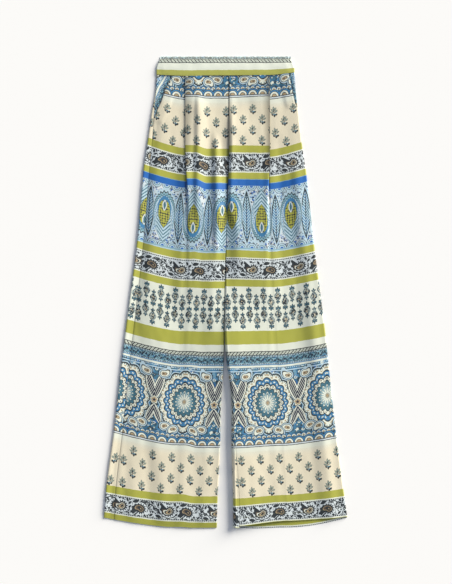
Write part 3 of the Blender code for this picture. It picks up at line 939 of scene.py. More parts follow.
def stitch_tree():
    """Stitches laid one after another along the lines of a mesh, each a long bead."""
    tree = bpy.data.node_groups.new("Stitches", "GeometryNodeTree")
    add_sockets(tree, "INPUT", (("Lines", "Geometry"), ("Pitch", "Float"), ("Length", "Float"),
                                ("Thread", "Float"), ("Seed", "Int"), ("Material", "Material")))
    add_sockets(tree, "OUTPUT", (("Stitches", "Geometry"),))
    given = add_node(tree, "NodeGroupInput").outputs
    curve = add_node(tree, "GeometryNodeMeshToCurve", {"Mesh": given["Lines"]})
    steps = add_node(tree, "GeometryNodeResampleCurve",
                     {"Curve": curve.outputs[0], "Length": given["Pitch"]}, mode="LENGTH")
    bead = add_node(tree, "GeometryNodeMeshUVSphere", {"Segments": 6, "Rings": 4, "Radius": 0.5})
    size = add_node(tree, "ShaderNodeCombineXYZ",
                    {"X": given["Length"], "Y": given["Thread"], "Z": given["Thread"]})
    stitch = add_node(tree, "GeometryNodeTransform",
                      {"Geometry": bead.outputs["Mesh"], "Scale": size.outputs[0]})
    tangent = add_node(tree, "GeometryNodeInputTangent")
    aim = add_node(tree, "FunctionNodeAlignRotationToVector", {"Vector": tangent.outputs[0]}, axis="X")
    uneven = add_node(tree, "FunctionNodeRandomValue", {2: 0.88, 3: 1.06, "Seed": given["Seed"]})
    laid = add_node(tree, "GeometryNodeInstanceOnPoints",
                    {"Points": steps.outputs[0], "Instance": stitch.outputs[0],
                     "Rotation": aim.outputs[0], "Scale": uneven.outputs[1]})
    whole = add_node(tree, "GeometryNodeRealizeInstances", {"Geometry": laid.outputs[0]})
    finished = add_node(tree, "GeometryNodeSetMaterial",
                        {"Geometry": whole.outputs[0], "Material": given["Material"]})
    add_node(tree, "NodeGroupOutput", {"Stitches": finished.outputs[0]})
    return tree


def stitches(lines, **values):
    """One mesh of all the stitches along the lines."""
    guide = bpy.data.meshes.new("stitch_lines")
    points = [tuple(value * MM for value in point) for line in lines for point in line]
    edges, first = [], 0
    for line in lines:
        edges += [(first + i, first + i + 1) for i in range(len(line) - 1)]
        first += len(line)
    guide.from_pydata(points, edges, [])
    path = bpy.data.objects.new("stitch_lines", guide)
    bpy.context.scene.collection.objects.link(path)
    modifier = path.modifiers.new("Stitches", "NODES")
    modifier.node_group = stitch_tree()
    for socket in modifier.node_group.interface.items_tree:
        if socket.in_out == "INPUT" and socket.name in values:
            modifier[socket.identifier] = values[socket.name]
    mesh = bpy.data.meshes.new_from_object(path.evaluated_get(bpy.context.evaluated_depsgraph_get()))
    path.modifiers.remove(modifier)
    bpy.data.objects.remove(path)
    if not mesh.polygons:
        raise RuntimeError("no stitches were made")
    piece = bpy.data.objects.new("stitches", mesh)
    bpy.context.scene.collection.objects.link(piece)
    return piece


# ------------------------------------------------------------
# Drawing with arithmetic: the print is worked out on the UV map by node groups


def operator(operation, swapped=False):
    """An operator of Value that adds a Math node."""
    def apply(value, other):
        return value.drawing.math(operation, *((other, value) if swapped else (value, other)))
    return apply


def method(operation):
    """A method of Drawing that adds a Math node."""
    def apply(drawing, *terms):
        return drawing.math(operation, *terms)
    return apply


class Value:
    """A number or colour that changes over the cloth."""

    __add__, __radd__ = operator("ADD"), operator("ADD", swapped=True)
    __sub__, __rsub__ = operator("SUBTRACT"), operator("SUBTRACT", swapped=True)
    __mul__, __rmul__ = operator("MULTIPLY"), operator("MULTIPLY", swapped=True)
    __truediv__ = operator("DIVIDE")
    __lt__, __gt__ = operator("LESS_THAN"), operator("GREATER_THAN")

    def __init__(self, drawing, socket):
        self.drawing = drawing
        self.socket = socket


class Drawing:
    """A shader node group whose nodes are added by writing formulas."""

    abs, least, most = method("ABSOLUTE"), method("MINIMUM"), method("MAXIMUM")
    sine, cosine = method("SINE"), method("COSINE")
    nearest, modulo, power = method("ROUND"), method("MODULO"), method("POWER")
    sum_of_product = method("MULTIPLY_ADD")
    angle = method("ARCTAN2")  # of x and y: 0 along +y, growing towards +x

    def __init__(self, name, inputs, outputs):
        self.tree = bpy.data.node_groups.new(name, "ShaderNodeTree")
        add_sockets(self.tree, "INPUT", inputs)
        add_sockets(self.tree, "OUTPUT", outputs)
        self.start = add_node(self.tree, "NodeGroupInput")
        self.end = add_node(self.tree, "NodeGroupOutput")

    def input(self, label):
        return Value(self, self.start.outputs[label])

    def output(self, label, value):
        self.tree.links.new(value.socket, self.end.inputs[label])

    def drawn(self, colour, mask):
        """The finished group of a motif."""
        self.output("Color", colour)
        self.output("Mask", mask)
        return self.tree

    def node(self, kind, inputs, output=0, **properties):
        """What comes out of a new node whose inputs are values, numbers or colours."""
        sockets = {label: value.socket if isinstance(value, Value) else value
                   for label, value in inputs.items()}
        return Value(self, add_node(self.tree, kind, sockets, **properties).outputs[output])

    def math(self, operation, *terms):
        return self.node("ShaderNodeMath", dict(enumerate(terms)), operation=operation)

    def millimetres(self):
        """The two parts of the input UV, which is in metres."""
        split = add_node(self.tree, "ShaderNodeSeparateXYZ", {0: self.start.outputs["UV"]})
        return [Value(self, socket) * 1000.0 for socket in split.outputs[:2]]

    def wrap(self, value, half):
        """Repeats from -half to half."""
        return self.math("WRAP", value, half, -half)

    def radius(self, x, y):
        return self.math("SQRT", self.sum_of_product(x, x, y * y))

    def fade(self, value, low, high):
        """0 at low and 1 at high, smoothly."""
        return self.node("ShaderNodeMapRange", {"Value": value, "From Min": low, "From Max": high},
                         "Result", interpolation_type="SMOOTHSTEP")

    def inside(self, value, low, high):
        """1 between low and high."""
        return (value > low) * (value < high)

    def point(self, x, y):
        return self.node("ShaderNodeCombineXYZ", {"X": x, "Y": y})

    def cloud(self, vector, scale, detail=2.0):
        """Soft noise about 0.5."""
        return self.node("ShaderNodeTexNoise", {"Vector": vector, "Scale": scale, "Detail": detail}, "Fac")

    def cells(self, vector, scale, randomness=1.0):
        """Distance from the nearest of many scattered points, in cells."""
        return self.node("ShaderNodeTexVoronoi",
                         {"Vector": vector, "Scale": scale, "Randomness": randomness}, "Distance")

    def ramp(self, value, stops, smooth=False):
        """Colour by value: each (position, colour) holds up to the next, or blends into it where smooth."""
        node = add_node(self.tree, "ShaderNodeValToRGB", {0: value.socket})
        ramp = node.color_ramp
        ramp.interpolation = "LINEAR" if smooth else "CONSTANT"
        for place, (position, colour) in enumerate(stops):
            stop = ramp.elements[place] if place < 2 else ramp.elements.new(position)
            stop.position = position
            stop.color = (*colour, 1)
        return Value(self, node.outputs[0])

    def over(self, mask, above, below):
        """above where mask is 1, below where it is 0."""
        below, above = [layer if isinstance(layer, Value) else (*layer, 1) for layer in (below, above)]
        return self.node("ShaderNodeMix", {0: mask, 6: below, 7: above}, 2, data_type="RGBA")

    def layers(self, colour, *layers):
        """A colour under layers of (mask, colour), each over the one before."""
        for mask, shade in layers:
            colour = self.over(mask, shade, colour)
        return colour

    def columns(self, u, pitch):
        """How far u is from the middle of the nearest column, and 1 in each second column."""
        column = self.nearest(u / pitch)
        return u - column * pitch, self.modulo(self.abs(column), 2.0)

    def curled(self, x, y, aim, curl):
        """1 along a line that leaves the origin at aim and curls with distance, 0 opposite it."""
        return self.cosine(self.sum_of_product(self.radius(x, y), curl, self.angle(x, y) - aim)) * 0.5 + 0.5

    def teardrop(self, x, y, length, slim):
        """0 at the heart and 1 at the rim of a teardrop along +y whose tip is at the origin."""
        swell = self.power(self.curled(x, y, 0.0, 0.0), slim) * length
        return self.radius(x, y) / self.most(swell, 0.001)

    def paisley(self, x, y, size, tip, aim, curl):
        """0 at the heart and 1 at the rim of a round body with a tip that curls as it narrows."""
        narrow = self.power(self.curled(x, y, aim, curl), 9.0)
        return self.radius(x, y) / self.sum_of_product(narrow, tip * size, size)

    def lens(self, x, y, at, aim, long, wide):
        """0 along the middle and 1 at the rim of a leaf pointed at both ends, of half length long. Its aim
        is 0 along +y and grows towards +x."""
        s, c = math.sin(aim), math.cos(aim)
        along = self.sum_of_product(y, c / long, -(at[0] * s + at[1] * c) / long)
        along = self.sum_of_product(x, s / long, along)
        across = self.sum_of_product(y, -s / wide, (at[1] * s - at[0] * c) / wide)
        across = self.sum_of_product(x, c / wide, across)
        return self.sum_of_product(along, along, self.abs(across))

    def leaves(self, x, y, table):
        """The nearest of several leaves, each with its place, aim, half length and half width."""
        nearest = None
        for at_x, at_y, aim, long, wide in table:
            leaf = self.lens(x, y, (at_x, at_y), aim, long, wide)
            nearest = leaf if nearest is None else self.least(nearest, leaf)
        return nearest


def motif(name):
    """A group that draws one motif by its place, and its two coordinates."""
    d = Drawing(name, (("U", "Float"), ("V", "Float")), (("Color", "Color"), ("Mask", "Float")))
    return d, d.input("U"), d.input("V")


def sprig_group(dyes):
    """Sprigs in half-offset columns. V runs down, with the foot row's middle at 0."""
    d, u, v = motif("Sprig rows")
    half_step = 23.8
    across, odd = d.columns(u, 21.6)
    y = d.wrap(v - odd * half_step, half_step) * -1.0
    lean = across + y * 0.06
    x = d.abs(lean)
    side_y = y - d.math("SIGN", lean) * 1.1
    leaf = d.lens(x, y, (0, 7.8), 0.0, 5.2, 2.1)
    leaf = d.least(leaf, d.leaves(x, side_y, ((3.3, 4.8, 0.62, 4.8, 1.9), (4.9, 0.2, 0.98, 4.7, 2.0))))
    stem = (x < 0.7) * d.inside(y, -8.0, 6.0)
    drop = d.lens(lean, y, (0.8, -5.2), math.pi / 2, 4.0, 1.8)
    bud = d.leaves(lean, y, (
        (-4.0, -5.8, -0.75, 2.9, 1.9), (0.5, -8.8, 0.0, 3.1, 2.1), (4.6, -6.4, 0.85, 3.3, 2.2)))
    colour = d.layers(dyes.leaf, (leaf > 0.66, dyes.line), (drop < 1.0, dyes.sky),
                      (bud < 1.0, d.over(bud < 0.12, dyes.navy, dyes.line)), (stem, dyes.line))
    return d.drawn(colour, d.most(d.least(d.least(leaf, drop), bud) < 1.0, stem))


# Leaves along one pitch of the vine: place, aim, half length and half width.
VINE_LEAVES = (
    (-45, -13.0, 1.85, 7.8, 3.8),
    (10, 14.0, 1.25, 8.2, 3.8),
    (-46, 12.5, 0.5, 5.4, 2.6),
    (-39, 15.5, 1.9, 4.6, 2.3),
    (-27, 16.0, 1.3, 4.8, 2.2),
    (-9, 14.5, -0.5, 5.4, 2.5),
    (-3, 9.0, 0.8, 5.0, 2.4),
    (1, -14.5, 1.2, 5.4, 2.5),
    (7, -7.5, 0.5, 5.0, 2.4),
    (17, -16.0, 1.9, 4.8, 2.2),
    (31, -14.5, 2.3, 5.2, 2.4),
    (47, 15.0, -0.8, 5.0, 2.4),
    (40, 8.5, 0.5, 5.2, 2.4),
    (45, -12.0, 0.9, 5.4, 2.5),
    (51, 3.0, -0.3, 4.6, 2.3),
)


def vine_group(dyes):
    """A vine that swings over and under paisleys. V is 0 along its middle, up positive."""
    d, u, v = motif("Paisley vine")
    pitch = 107.0
    x = d.wrap(u, pitch / 2)
    swing = d.cosine((x + 22.0) * (2 * math.pi / pitch))
    stem = d.abs(v + swing * 15.0 + d.sine(x * 0.5) * 0.8) < 1.3
    tendril = d.abs(v + swing * 7.0 + d.sine(x * 0.36) * 5.0) < 0.95
    leaf = d.leaves(x, v, VINE_LEAVES)
    curls = d.cells(d.point(u, v * 1.1), 0.115)
    seeds = d.cells(d.point(u * 1.5 + v, v * 1.3 - u * 0.5), 0.17) < 0.38
    colour = d.layers(
        dyes.white, (d.most(d.inside(curls, 0.25, 0.43), seeds), dyes.line), (leaf < 1.45, dyes.white),
        (d.most(d.most(stem, tendril), leaf < 1.0), dyes.line))
    light = ((0.0, dyes.line), (0.24, dyes.tan), (0.4, dyes.line), (0.54, dyes.cream), (0.64, dyes.brown),
             (0.74, dyes.line))
    dark = ((0.0, dyes.tan), (0.12, dyes.line), (0.38, dyes.brown), (0.54, dyes.tan), (0.62, dyes.line))
    for at_x, at_y, aim, curl, rings in ((-20.0, 0.0, -2.7, -0.075, light), (22.0, -1.5, -0.6, 0.067, dark)):
        beside, above = x - at_x, v - at_y
        paisley = d.paisley(beside, above, 9.2, 1.45, aim, curl)
        teeth = paisley - (d.cosine(d.angle(beside, above) * 13.0) > 0.0) * 0.3
        colour = d.layers(colour, (paisley < 1.5, dyes.white), (teeth < 1.0, dyes.line),
                          (paisley < 1.0, d.ramp(paisley, rings)))
    return d.drawn(colour, d.abs(v) < 19.0)


def bud_group(dyes):
    """Columns of slender diamond buds, each second column upside down and lower by an offset.
    V runs down from the field's top."""
    d, u, v = motif("Diamond buds")
    half_step, offset = 21.0, 15.0
    across, low = d.columns(u, 16.2)
    x = d.abs(across)
    top = v - low * offset
    y = d.wrap(top - half_step, half_step) * (low * 2.0 - 1.0)
    body = d.power(x / 8.8, 1.1) + d.power(d.abs(y + 0.5) / 13.6, 1.1)
    beads = d.sine(x * 2.6) * d.sine(y * 2.0) > -0.12
    inner = d.ramp(d.cloud(d.point(u, v), 0.26, 0.0), (
        (0.0, dyes.navy), (0.36, dyes.teal), (0.44, dyes.beige), (0.53, dyes.tan), (0.62, dyes.leaf)))
    florets = d.cells(d.point(u, v), 0.34, 0.7) < 0.55
    fill = d.over(body < 0.5, inner, d.over(beads, dyes.teal, dyes.cream))
    fill = d.over(florets, fill, dyes.line)
    tufts = d.leaves(x, y, (
        (3.0, 13.4, 0.6, 4.4, 2.0), (0.0, 15.8, 0.0, 4.6, 2.0), (3.4, 11.2, 1.15, 3.4, 1.6),
        (2.6, -13.6, 2.3, 3.2, 1.8), (0.0, -16.0, 0.0, 4.0, 1.7)))
    stalk = (x < 0.7) * (d.abs(y) < 18.0)
    colour = d.layers(dyes.line, (tufts < 0.5, dyes.teal), (body < 1.0, fill))
    return d.drawn(colour, d.most(d.least(body, tufts) < 1.0, stalk) * d.inside(top, 0.5, 85.0))


def curled_ground(d, u, v, near, far, scale, ink=0.16):
    """A ground strewn with small open curls and dots, whose lines are ink wide."""
    spots = d.cells(d.point(u, v * 1.15), scale)
    open_side = d.cloud(d.point(u, v), scale * 1.3, 0.0) > 0.46
    marks = d.most(d.inside(spots, 0.24, 0.24 + ink) * open_side, spots < 0.09)
    return d.over(marks, near, far)


def almond_panel_group(dyes):
    """Upright and upturned almond leaves with green hearts, by turns, between slim cypresses.
    V is the height above the panel's foot."""
    d, u, h = motif("Almond panel")
    pitch, height = 67.5, 136.0
    across, odd = d.columns(u, pitch)
    x = d.abs(across)
    y = h + odd * (height - h * 2.0)
    pale = d.over(d.fade(d.cloud(d.point(u, h), 0.035), 0.42, 0.6), dyes.frost, dyes.white)
    colour = curled_ground(d, u + 31.0, h + 17.0, dyes.royal, pale, 0.13, 0.2)
    colour = curled_ground(d, u, h, dyes.navy, colour, 0.17, 0.22)

    fan_x = d.wrap(u, pitch / 6)
    for foot in (h, height - h):
        fan = d.radius(fan_x, foot)
        colour = d.over(fan < 11.0, d.ramp(fan / 12.0, (
            (0.0, dyes.royal), (0.3, dyes.frost), (0.5, dyes.teal), (0.6, dyes.frost),
            (0.84, dyes.line))), colour)

    away = pitch / 2 - x
    cypress = d.lens(away, h, (0, height / 2), 0.0, 58.0, 10.5)
    leafy = d.over(d.cloud(d.point(u, h), 0.05, 0.0) > 0.5, dyes.blue, dyes.teal)
    tree = d.layers(dyes.frost, (d.sine(h * 0.95 - away * 1.3) > 0.05, leafy), (away < 0.8, dyes.navy),
                    (cypress > 0.8, dyes.line))
    colour = d.layers(colour, (cypress < 1.25, dyes.frost), (cypress < 1.0, tree))

    rim = d.teardrop(x, (y - 128.0) * -1.0, 113.0, 15.0)
    turn = d.angle(x, y - 54.0)
    lobed = rim + d.cosine(turn * 30.0) * 0.018
    rings = d.ramp(lobed, (
        (0.0, dyes.frost), (0.7, dyes.line), (0.728, dyes.frost), (0.9, dyes.teal), (0.93, dyes.sky),
        (0.97, dyes.line)))
    dots = d.inside(rim, 0.79, 0.85) * (d.sine(turn * 38.0) > 0.1)
    sprays = (d.sine(y * 0.8 + x * 0.9) > 0.35) * (rim < 0.66)
    rings = d.layers(rings, (dots, dyes.blue), (sprays, dyes.teal))
    colour = d.layers(colour, (lobed < 1.06, dyes.frost), (lobed < 1.0, rings))

    heart = d.teardrop(x, (y - 96.0) * -1.0, 70.0, 15.0)
    scales = d.cells(d.point(x, y * 0.9), 0.2, 0.3) > 0.5
    seed = d.lens(x, y, (0, 46), 0.0, 13.0, 5.0)
    inner = d.layers(dyes.green, (scales, dyes.line),
                     (seed < 1.0, d.over(seed < 0.55, dyes.teal, dyes.white)), (heart > 0.88, dyes.blue))
    return d.drawn(d.over(heart < 1.0, inner, colour), d.inside(h, 0.0, height))


def medallion_panel_group(dyes):
    """Large lobed medallions, pairs of dark leaves between them, and a scalloped foot.
    V is the height above the panel's foot."""
    d, u, h = motif("Medallion panel")
    pitch, middle = 135.0, 92.0
    x = d.abs(u - d.nearest(u / pitch) * pitch)
    field = d.ramp(d.cloud(d.point(u, h * 0.7), 0.05, 3.0), (
        (0.28, dyes.sky), (0.44, dyes.blue), (0.56, dyes.teal), (0.68, dyes.royal)), smooth=True)
    colour = curled_ground(d, u, h, dyes.cream, field, 0.1)
    colour = curled_ground(d, u + 40.0, h + 9.0, dyes.line, colour, 0.15, 0.24)

    r = d.radius(x, (h - middle) * 0.82)
    turn = d.angle(x, h - middle)
    lobes = d.abs(d.cosine(turn * 8.0))
    lobed = r - lobes * 5.0
    rings = d.ramp(lobed / 60.0, (
        (0.0, dyes.sky), (0.26, dyes.teal), (0.37, dyes.line), (0.4, dyes.cream), (0.5, dyes.line),
        (0.54, dyes.blue), (0.67, dyes.line), (0.71, dyes.cream), (0.85, dyes.line), (0.9, dyes.frost)))
    dots, hatch = d.sine(turn * 40.0) > 0.0, d.sine(turn * 90.0) > 0.2
    for start, end, marks, shade in ((26.0, 28.5, dots, dyes.brown), (35.0, 37.5, dots, dyes.cream),
                                     (45.5, 48.0, dots, dyes.tan), (48.6, 51.0, hatch, dyes.teal)):
        rings = d.over(d.inside(lobed, start, end) * marks, shade, rings)
    petals = r / (lobes * 15.0 + 7.0)
    flower = d.ramp(petals * 0.9, (
        (0.0, dyes.tan), (0.16, dyes.line), (0.22, dyes.cream), (0.62, dyes.teal), (0.74, dyes.cream),
        (0.84, dyes.line)))
    colour = d.over(lobed < 56.0, d.over(petals < 1.0, flower, rings), colour)

    away = pitch / 2 - x
    leaf = d.leaves(away, h, ((9.0, 122.0, 0.3, 36.0, 9.0), (7.5, 60.0, 2.75, 26.0, 7.0)))
    dark = d.layers(dyes.navy, (d.sine(h * 0.7 + away * 1.4) > 0.72, dyes.cream), (leaf > 0.78, dyes.cream))
    above = h - 90.0
    bloom = d.radius(away, above) / (d.abs(d.cosine(d.angle(away, above) * 2.5)) * 4.5 + 6.5)
    bloom_rings = d.ramp(bloom, ((0.0, dyes.navy), (0.3, dyes.tan), (0.66, dyes.cream), (0.84, dyes.line)))
    colour = d.layers(colour, (leaf < 1.2, dyes.line), (leaf < 1.06, dark), (bloom < 1.0, bloom_rings))

    for at_x, at_h, aim, curl in (
            (44.0, 34.0, -0.9, 0.05), (20.0, 30.0, 1.3, -0.06), (50.0, 152.0, -1.8, -0.05)):
        comma = d.paisley(x - at_x, h - at_h, 7.6, 1.3, aim, curl)
        comma_rings = d.ramp(comma, (
            (0.0, dyes.line), (0.18, dyes.tan), (0.42, dyes.line), (0.5, dyes.cream), (0.84, dyes.line)))
        colour = d.layers(colour, (comma < 1.5, d.over(comma < 1.3, dyes.frost, dyes.line)),
                          (comma < 1.0, comma_rings))

    for half, low, size in ((11.25, 0.0, 15.0), (5.625, 14.0, 7.0)):
        scallop = d.radius(d.wrap(u, half), h - low) / size
        colour = d.over((scallop < 0.96) * (h > low), d.ramp(scallop, (
            (0.0, dyes.tan), (0.3, dyes.line), (0.38, dyes.cream), (0.62, dyes.line), (0.7, dyes.blue),
            (0.88, dyes.line))), colour)
    top_line = d.most(d.inside(h, 163.0, 165.5), d.inside(h, 168.5, 170.5) * (d.sine(u * 1.3) > -0.3))
    return d.drawn(d.over(top_line, dyes.frost, colour), d.inside(h, 0.0, 172.0))


def border_print_group(dyes):
    """The whole print by its place on the cloth, a UV in metres."""
    d = Drawing("Border print", (("UV", "Vector"),), (("Color", "Color"),))
    flat_u, flat_v = d.millimetres()
    waver = d.cloud(d.point(flat_u, flat_v), 0.11, 1.0)
    u = flat_u + waver * 1.6
    p = d.math("FLOORED_MODULO", flat_v - PRINT_START + waver * 1.4 - 0.7, PRINT_REPEAT)

    bands = (
        (1.2, dyes.royal), (15, dyes.frost), (152, dyes.sky), (154.5, dyes.frost), (157, dyes.green),
        (173, dyes.cream), (175.6, dyes.white), (220.4, dyes.cream), (223, dyes.green),
        (BUDS[0], dyes.cream), (BUDS[1], dyes.green), (370, dyes.cream), (385.6, dyes.line),
        (ROPE[0], dyes.cream), (ROPE[1], dyes.line), (395.6, dyes.frost), (WAVES[0], dyes.blue),
        (WAVES[1], dyes.frost), (415.6, dyes.blue), (417.4, dyes.cream), (421.6, dyes.frost),
        (MEDALLION_FOOT, dyes.line), (595.8, dyes.white), (598.4, dyes.line), (SPRIG_FADE[0], dyes.cream),
        (609, dyes.beige), (SPRIGS_END, dyes.green), (727, dyes.cream), (729.6, dyes.white),
        (768.4, dyes.cream), (771, dyes.green))
    fading = d.over(d.fade(p, *SPRIG_FADE), dyes.beige, dyes.cream)
    pin_dots = (d.sine(u * 2.0) * d.sine(p * 2.0) > 0.5) * d.inside(p, 610.0, SPRIGS_END)
    colour = d.layers(dyes.sky, *[(p > start, shade) for start, shade in bands],
                      (d.inside(p, *SPRIG_FADE), fading), (pin_dots * 0.45, dyes.tan))

    first_vine = p < BUDS[0]
    vine_middle = first_vine * VINE_MIDDLES[0] + (1.0 - first_vine) * VINE_MIDDLES[1]
    for group, place, shown in (
            (vine_group, vine_middle - p, d.most(*[d.inside(p, *span) for span in VINES])),
            (sprig_group, p - 700.0, d.inside(p, 616.5, SPRIGS_END)),
            (bud_group, p - BUDS[0], d.inside(p, *BUDS)),
            (almond_panel_group, ALMOND_FOOT - p, 1.0),
            (medallion_panel_group, MEDALLION_FOOT - p, 1.0)):
        node = add_node(d.tree, "ShaderNodeGroup", {"U": u.socket, "V": place.socket}, node_tree=group(dyes))
        colour = d.over(Value(d, node.outputs["Mask"]) * shown, Value(d, node.outputs["Color"]), colour)

    dotted = d.abs(p - DOTTED_LINES[0]) < 1.3
    for place in DOTTED_LINES[1:]:
        dotted = d.most(dotted, d.abs(p - place) < 1.3)
    dash = d.sine(u * 1.5) > -0.55
    rope, twist = d.inside(p, *ROPE), d.sine(u * 0.8 + p * 0.75)
    wave, wash = d.inside(p, *WAVES), d.cloud(d.point(u * 0.6, p), 0.12, 2.0)
    crest = p - 405.5 - d.sine(u * 0.42) * 2.6 - d.sine(u * 0.93) * 1.2
    broken = d.sine(u * 0.9 + p * 0.5) > -0.55
    ticks = d.inside(p, 395.6, WAVES[0]) * (d.sine(u * 1.7 + 0.8) > 0.1)
    curls = d.inside(p, 397.0, 415.0) * d.inside(d.cells(d.point(u, p * 1.3), 0.16), 0.3, 0.42)
    seeds = d.inside(p, 412.8, 415.2) * (d.sine(u * 1.6) > -0.1)
    colour = d.layers(
        colour, (dotted * dash, dyes.line), (rope * (twist > 0.35), dyes.line),
        (rope * (twist < -0.75), dyes.leaf), (wave * d.fade(wash, 0.34, 0.5), dyes.teal),
        (wave * d.fade(wash, 0.5, 0.62), dyes.sky), (wave * (d.abs(crest + 4.2) < 1.0), dyes.sky),
        (wave * (d.abs(crest - 4.6) < 0.9), dyes.sky),
        (wave * broken * (d.abs(crest) < wash * 5.2 - 0.6), dyes.navy), (ticks, dyes.line),
        (curls, dyes.line), (seeds, dyes.navy))

    bleed = d.cloud(d.point(flat_u * 0.7, flat_v), 0.02, 4.0)
    d.output("Color", d.over(bleed * 0.5, d.over(0.07, dyes.white, colour), colour))
    return d.tree


def weave_group():
    """Fine satin weave: slanting floats that catch the light, with slubs and uneven dye."""
    d = Drawing("Satin weave", (("UV", "Vector"), ("Thread", "Float", 0.45)),
                (("Height", "Float"), ("Tone", "Float"), ("Slub", "Float")))
    u, v = d.millimetres()
    thread = d.input("Thread")
    warp = d.sine(u * (2 * math.pi) / thread)
    float_step = d.sine((v + u * 3.0) * (math.pi / 2) / thread)
    slub = d.cloud(d.point(u * 0.35, v * 0.03), 1.0, 2.0)
    d.output("Height", warp * float_step * 0.5 + slub)
    d.output("Tone", d.cloud(d.point(u, v), 0.012, 3.0))
    d.output("Slub", slub)
    return d.tree


# ------------------------------------------------------------
# Materials


def plain_material(name, colour, roughness):
    material = bpy.data.materials.new(name)
    material.use_nodes = True
    shader = material.node_tree.nodes["Principled BSDF"]
    shader.inputs["Base Color"].default_value = (*colour, 1)
    shader.inputs["Roughness"].default_value = roughness
    return material, shader


def finish(tree, shader, uneven, height, roughness, spread, bump, depth, sheen):
    """Gives a cloth or thread its uneven roughness, its fine relief and its sheen."""
    gloss = add_node(tree, "ShaderNodeMapRange",
                     {"Value": uneven, "To Min": roughness - spread, "To Max": roughness + spread})
    relief = add_node(tree, "ShaderNodeBump", {"Strength": bump, "Distance": depth, "Height": height})
    tree.links.new(gloss.outputs["Result"], shader.inputs["Roughness"])
    tree.links.new(relief.outputs["Normal"], shader.inputs["Normal"])
    shader.inputs["Sheen Weight"].default_value = sheen


def cloth_material(name, roughness=0.46, sheen=0.12, bump=0.25, tones=(0.9, 1.06), washed=0.0):
    """Printed satin: the print on the weave, with its sheen, its dye a little uneven, and painted shade at
    its seam lines and pleat feet. A given share of the print is mixed towards cream, which makes it paler."""
    groups = cloth_groups()
    material, shader = plain_material(name, (0.8, 0.8, 0.8), roughness)
    tree = material.node_tree
    uv = add_node(tree, "ShaderNodeUVMap", uv_map="Print").outputs[0]
    printed = add_node(tree, "ShaderNodeGroup", node_tree=groups["print"])
    weave = add_node(tree, "ShaderNodeGroup", node_tree=groups["weave"])
    for group in (printed, weave):
        tree.links.new(uv, group.inputs["UV"])
    tone = add_node(tree, "ShaderNodeMapRange",
                    {"Value": weave.outputs["Tone"], "To Min": tones[0], "To Max": tones[1]})
    # The seam attribute darkens the tone: painted shade along the dark seam lines and at the pleats' feet.
    seam = add_node(tree, "ShaderNodeAttribute", attribute_name="Seam")
    seam_shaded_tone = add_node(tree, "ShaderNodeMath",
                      {0: seam.outputs["Fac"], 1: -SEAM_SHADE_DARKNESS, 2: tone.outputs["Result"]},
                      operation="MULTIPLY_ADD")
    cream = (*bpy.context.scene.pants_dyes.cream, 1)
    pale = add_node(tree, "ShaderNodeMix", {0: washed, 6: printed.outputs["Color"], 7: cream},
                    data_type="RGBA")
    shade = add_node(tree, "ShaderNodeMix", {0: 1.0, 6: pale.outputs[2], 7: seam_shaded_tone.outputs[0]},
                     data_type="RGBA", blend_type="MULTIPLY")
    tree.links.new(shade.outputs[2], shader.inputs["Base Color"])
    finish(tree, shader, weave.outputs["Slub"], weave.outputs["Height"], roughness, spread=0.07,
           bump=bump, depth=0.0002, sheen=sheen)
    shader.inputs["Sheen Roughness"].default_value = 0.35
    shader.inputs["Specular IOR Level"].default_value = 0.45
    return material


def thread_material():
    """Dull twisted thread."""
    material, shader = plain_material("sewing_thread", (0.5, 0.5, 0.5), 0.62)
    tree = material.node_tree
    dyes = bpy.context.scene.pants_dyes
    place = add_node(tree, "ShaderNodeTexCoord")
    twist = add_node(tree, "ShaderNodeTexWave",
                     {"Vector": place.outputs["Object"], "Scale": 1500, "Distortion": 1.0},
                     bands_direction="DIAGONAL").outputs["Fac"]
    tone = add_node(tree, "ShaderNodeMix", {0: twist, 6: (*dyes.leaf, 1), 7: (*dyes.green, 1)},
                    data_type="RGBA")
    tree.links.new(tone.outputs[2], shader.inputs["Base Color"])
    finish(tree, shader, twist, twist, roughness=0.6, spread=0.1, bump=0.4, depth=0.0001, sheen=0.1)
    return material


def cloth_groups():
    """The shared node groups, built once."""
    dyes = bpy.context.scene.pants_dyes
    if "Border print" not in bpy.data.node_groups:
        border_print_group(dyes)
        weave_group()
    return {"print": bpy.data.node_groups["Border print"], "weave": bpy.data.node_groups["Satin weave"]}


def material_named(name, **looks):
    return bpy.data.materials.get(name) or cloth_material(name, **looks)


def dress(piece, node, material, rows):
    """Gives a finished sheet of cloth its material and its place in the frame."""
    piece.data.materials.append(material)
    flat, area = flat_size(rows)
    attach(piece, "root")
    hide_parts(node)


def shapes_of(cloth):
    return {name: LegShape(leg, cloth) for name, leg in LEGS.items()}


# ------------------------------------------------------------
# Operators


class PANTS_OT_legs(bpy.types.Operator):
    """Make the front and back panels of both legs"""
    bl_idname = "pants.legs"
    bl_label = "Leg Panels"

    def execute(self, context):
        cloth = context.scene.pants_cloth
        step = cloth.row_step / MM
        satin = material_named("printed_satin")
        for name, shape in shapes_of(cloth).items():
            rows = [shape.back_row(down) for down in levels(shape.hem, step)]
            # Painted shade along the dark seam lines at the back's two ends.
            marks = [seam_shade_marks(line, 0.2, 0.3) for line in rows]
            back = cloth_wall(f"back_{name}_cloth", rows, shape.wall, shape.hem - TURNED_HEM, marks)
            dress(back, f"back_{name}", satin, rows)
            rows = [shape.front_row(down) for down in levels(shape.hem, step)]
            # Painted shade along the front's dark seam lines and at its pleat's foot.
            marks = [shape.front_shade_marks(line) for line in rows]
            front = cloth_wall(f"front_{name}_cloth", rows, shape.wall, marks=marks)
            dress(front, f"front_{name}", satin, rows)
        return {"FINISHED"}


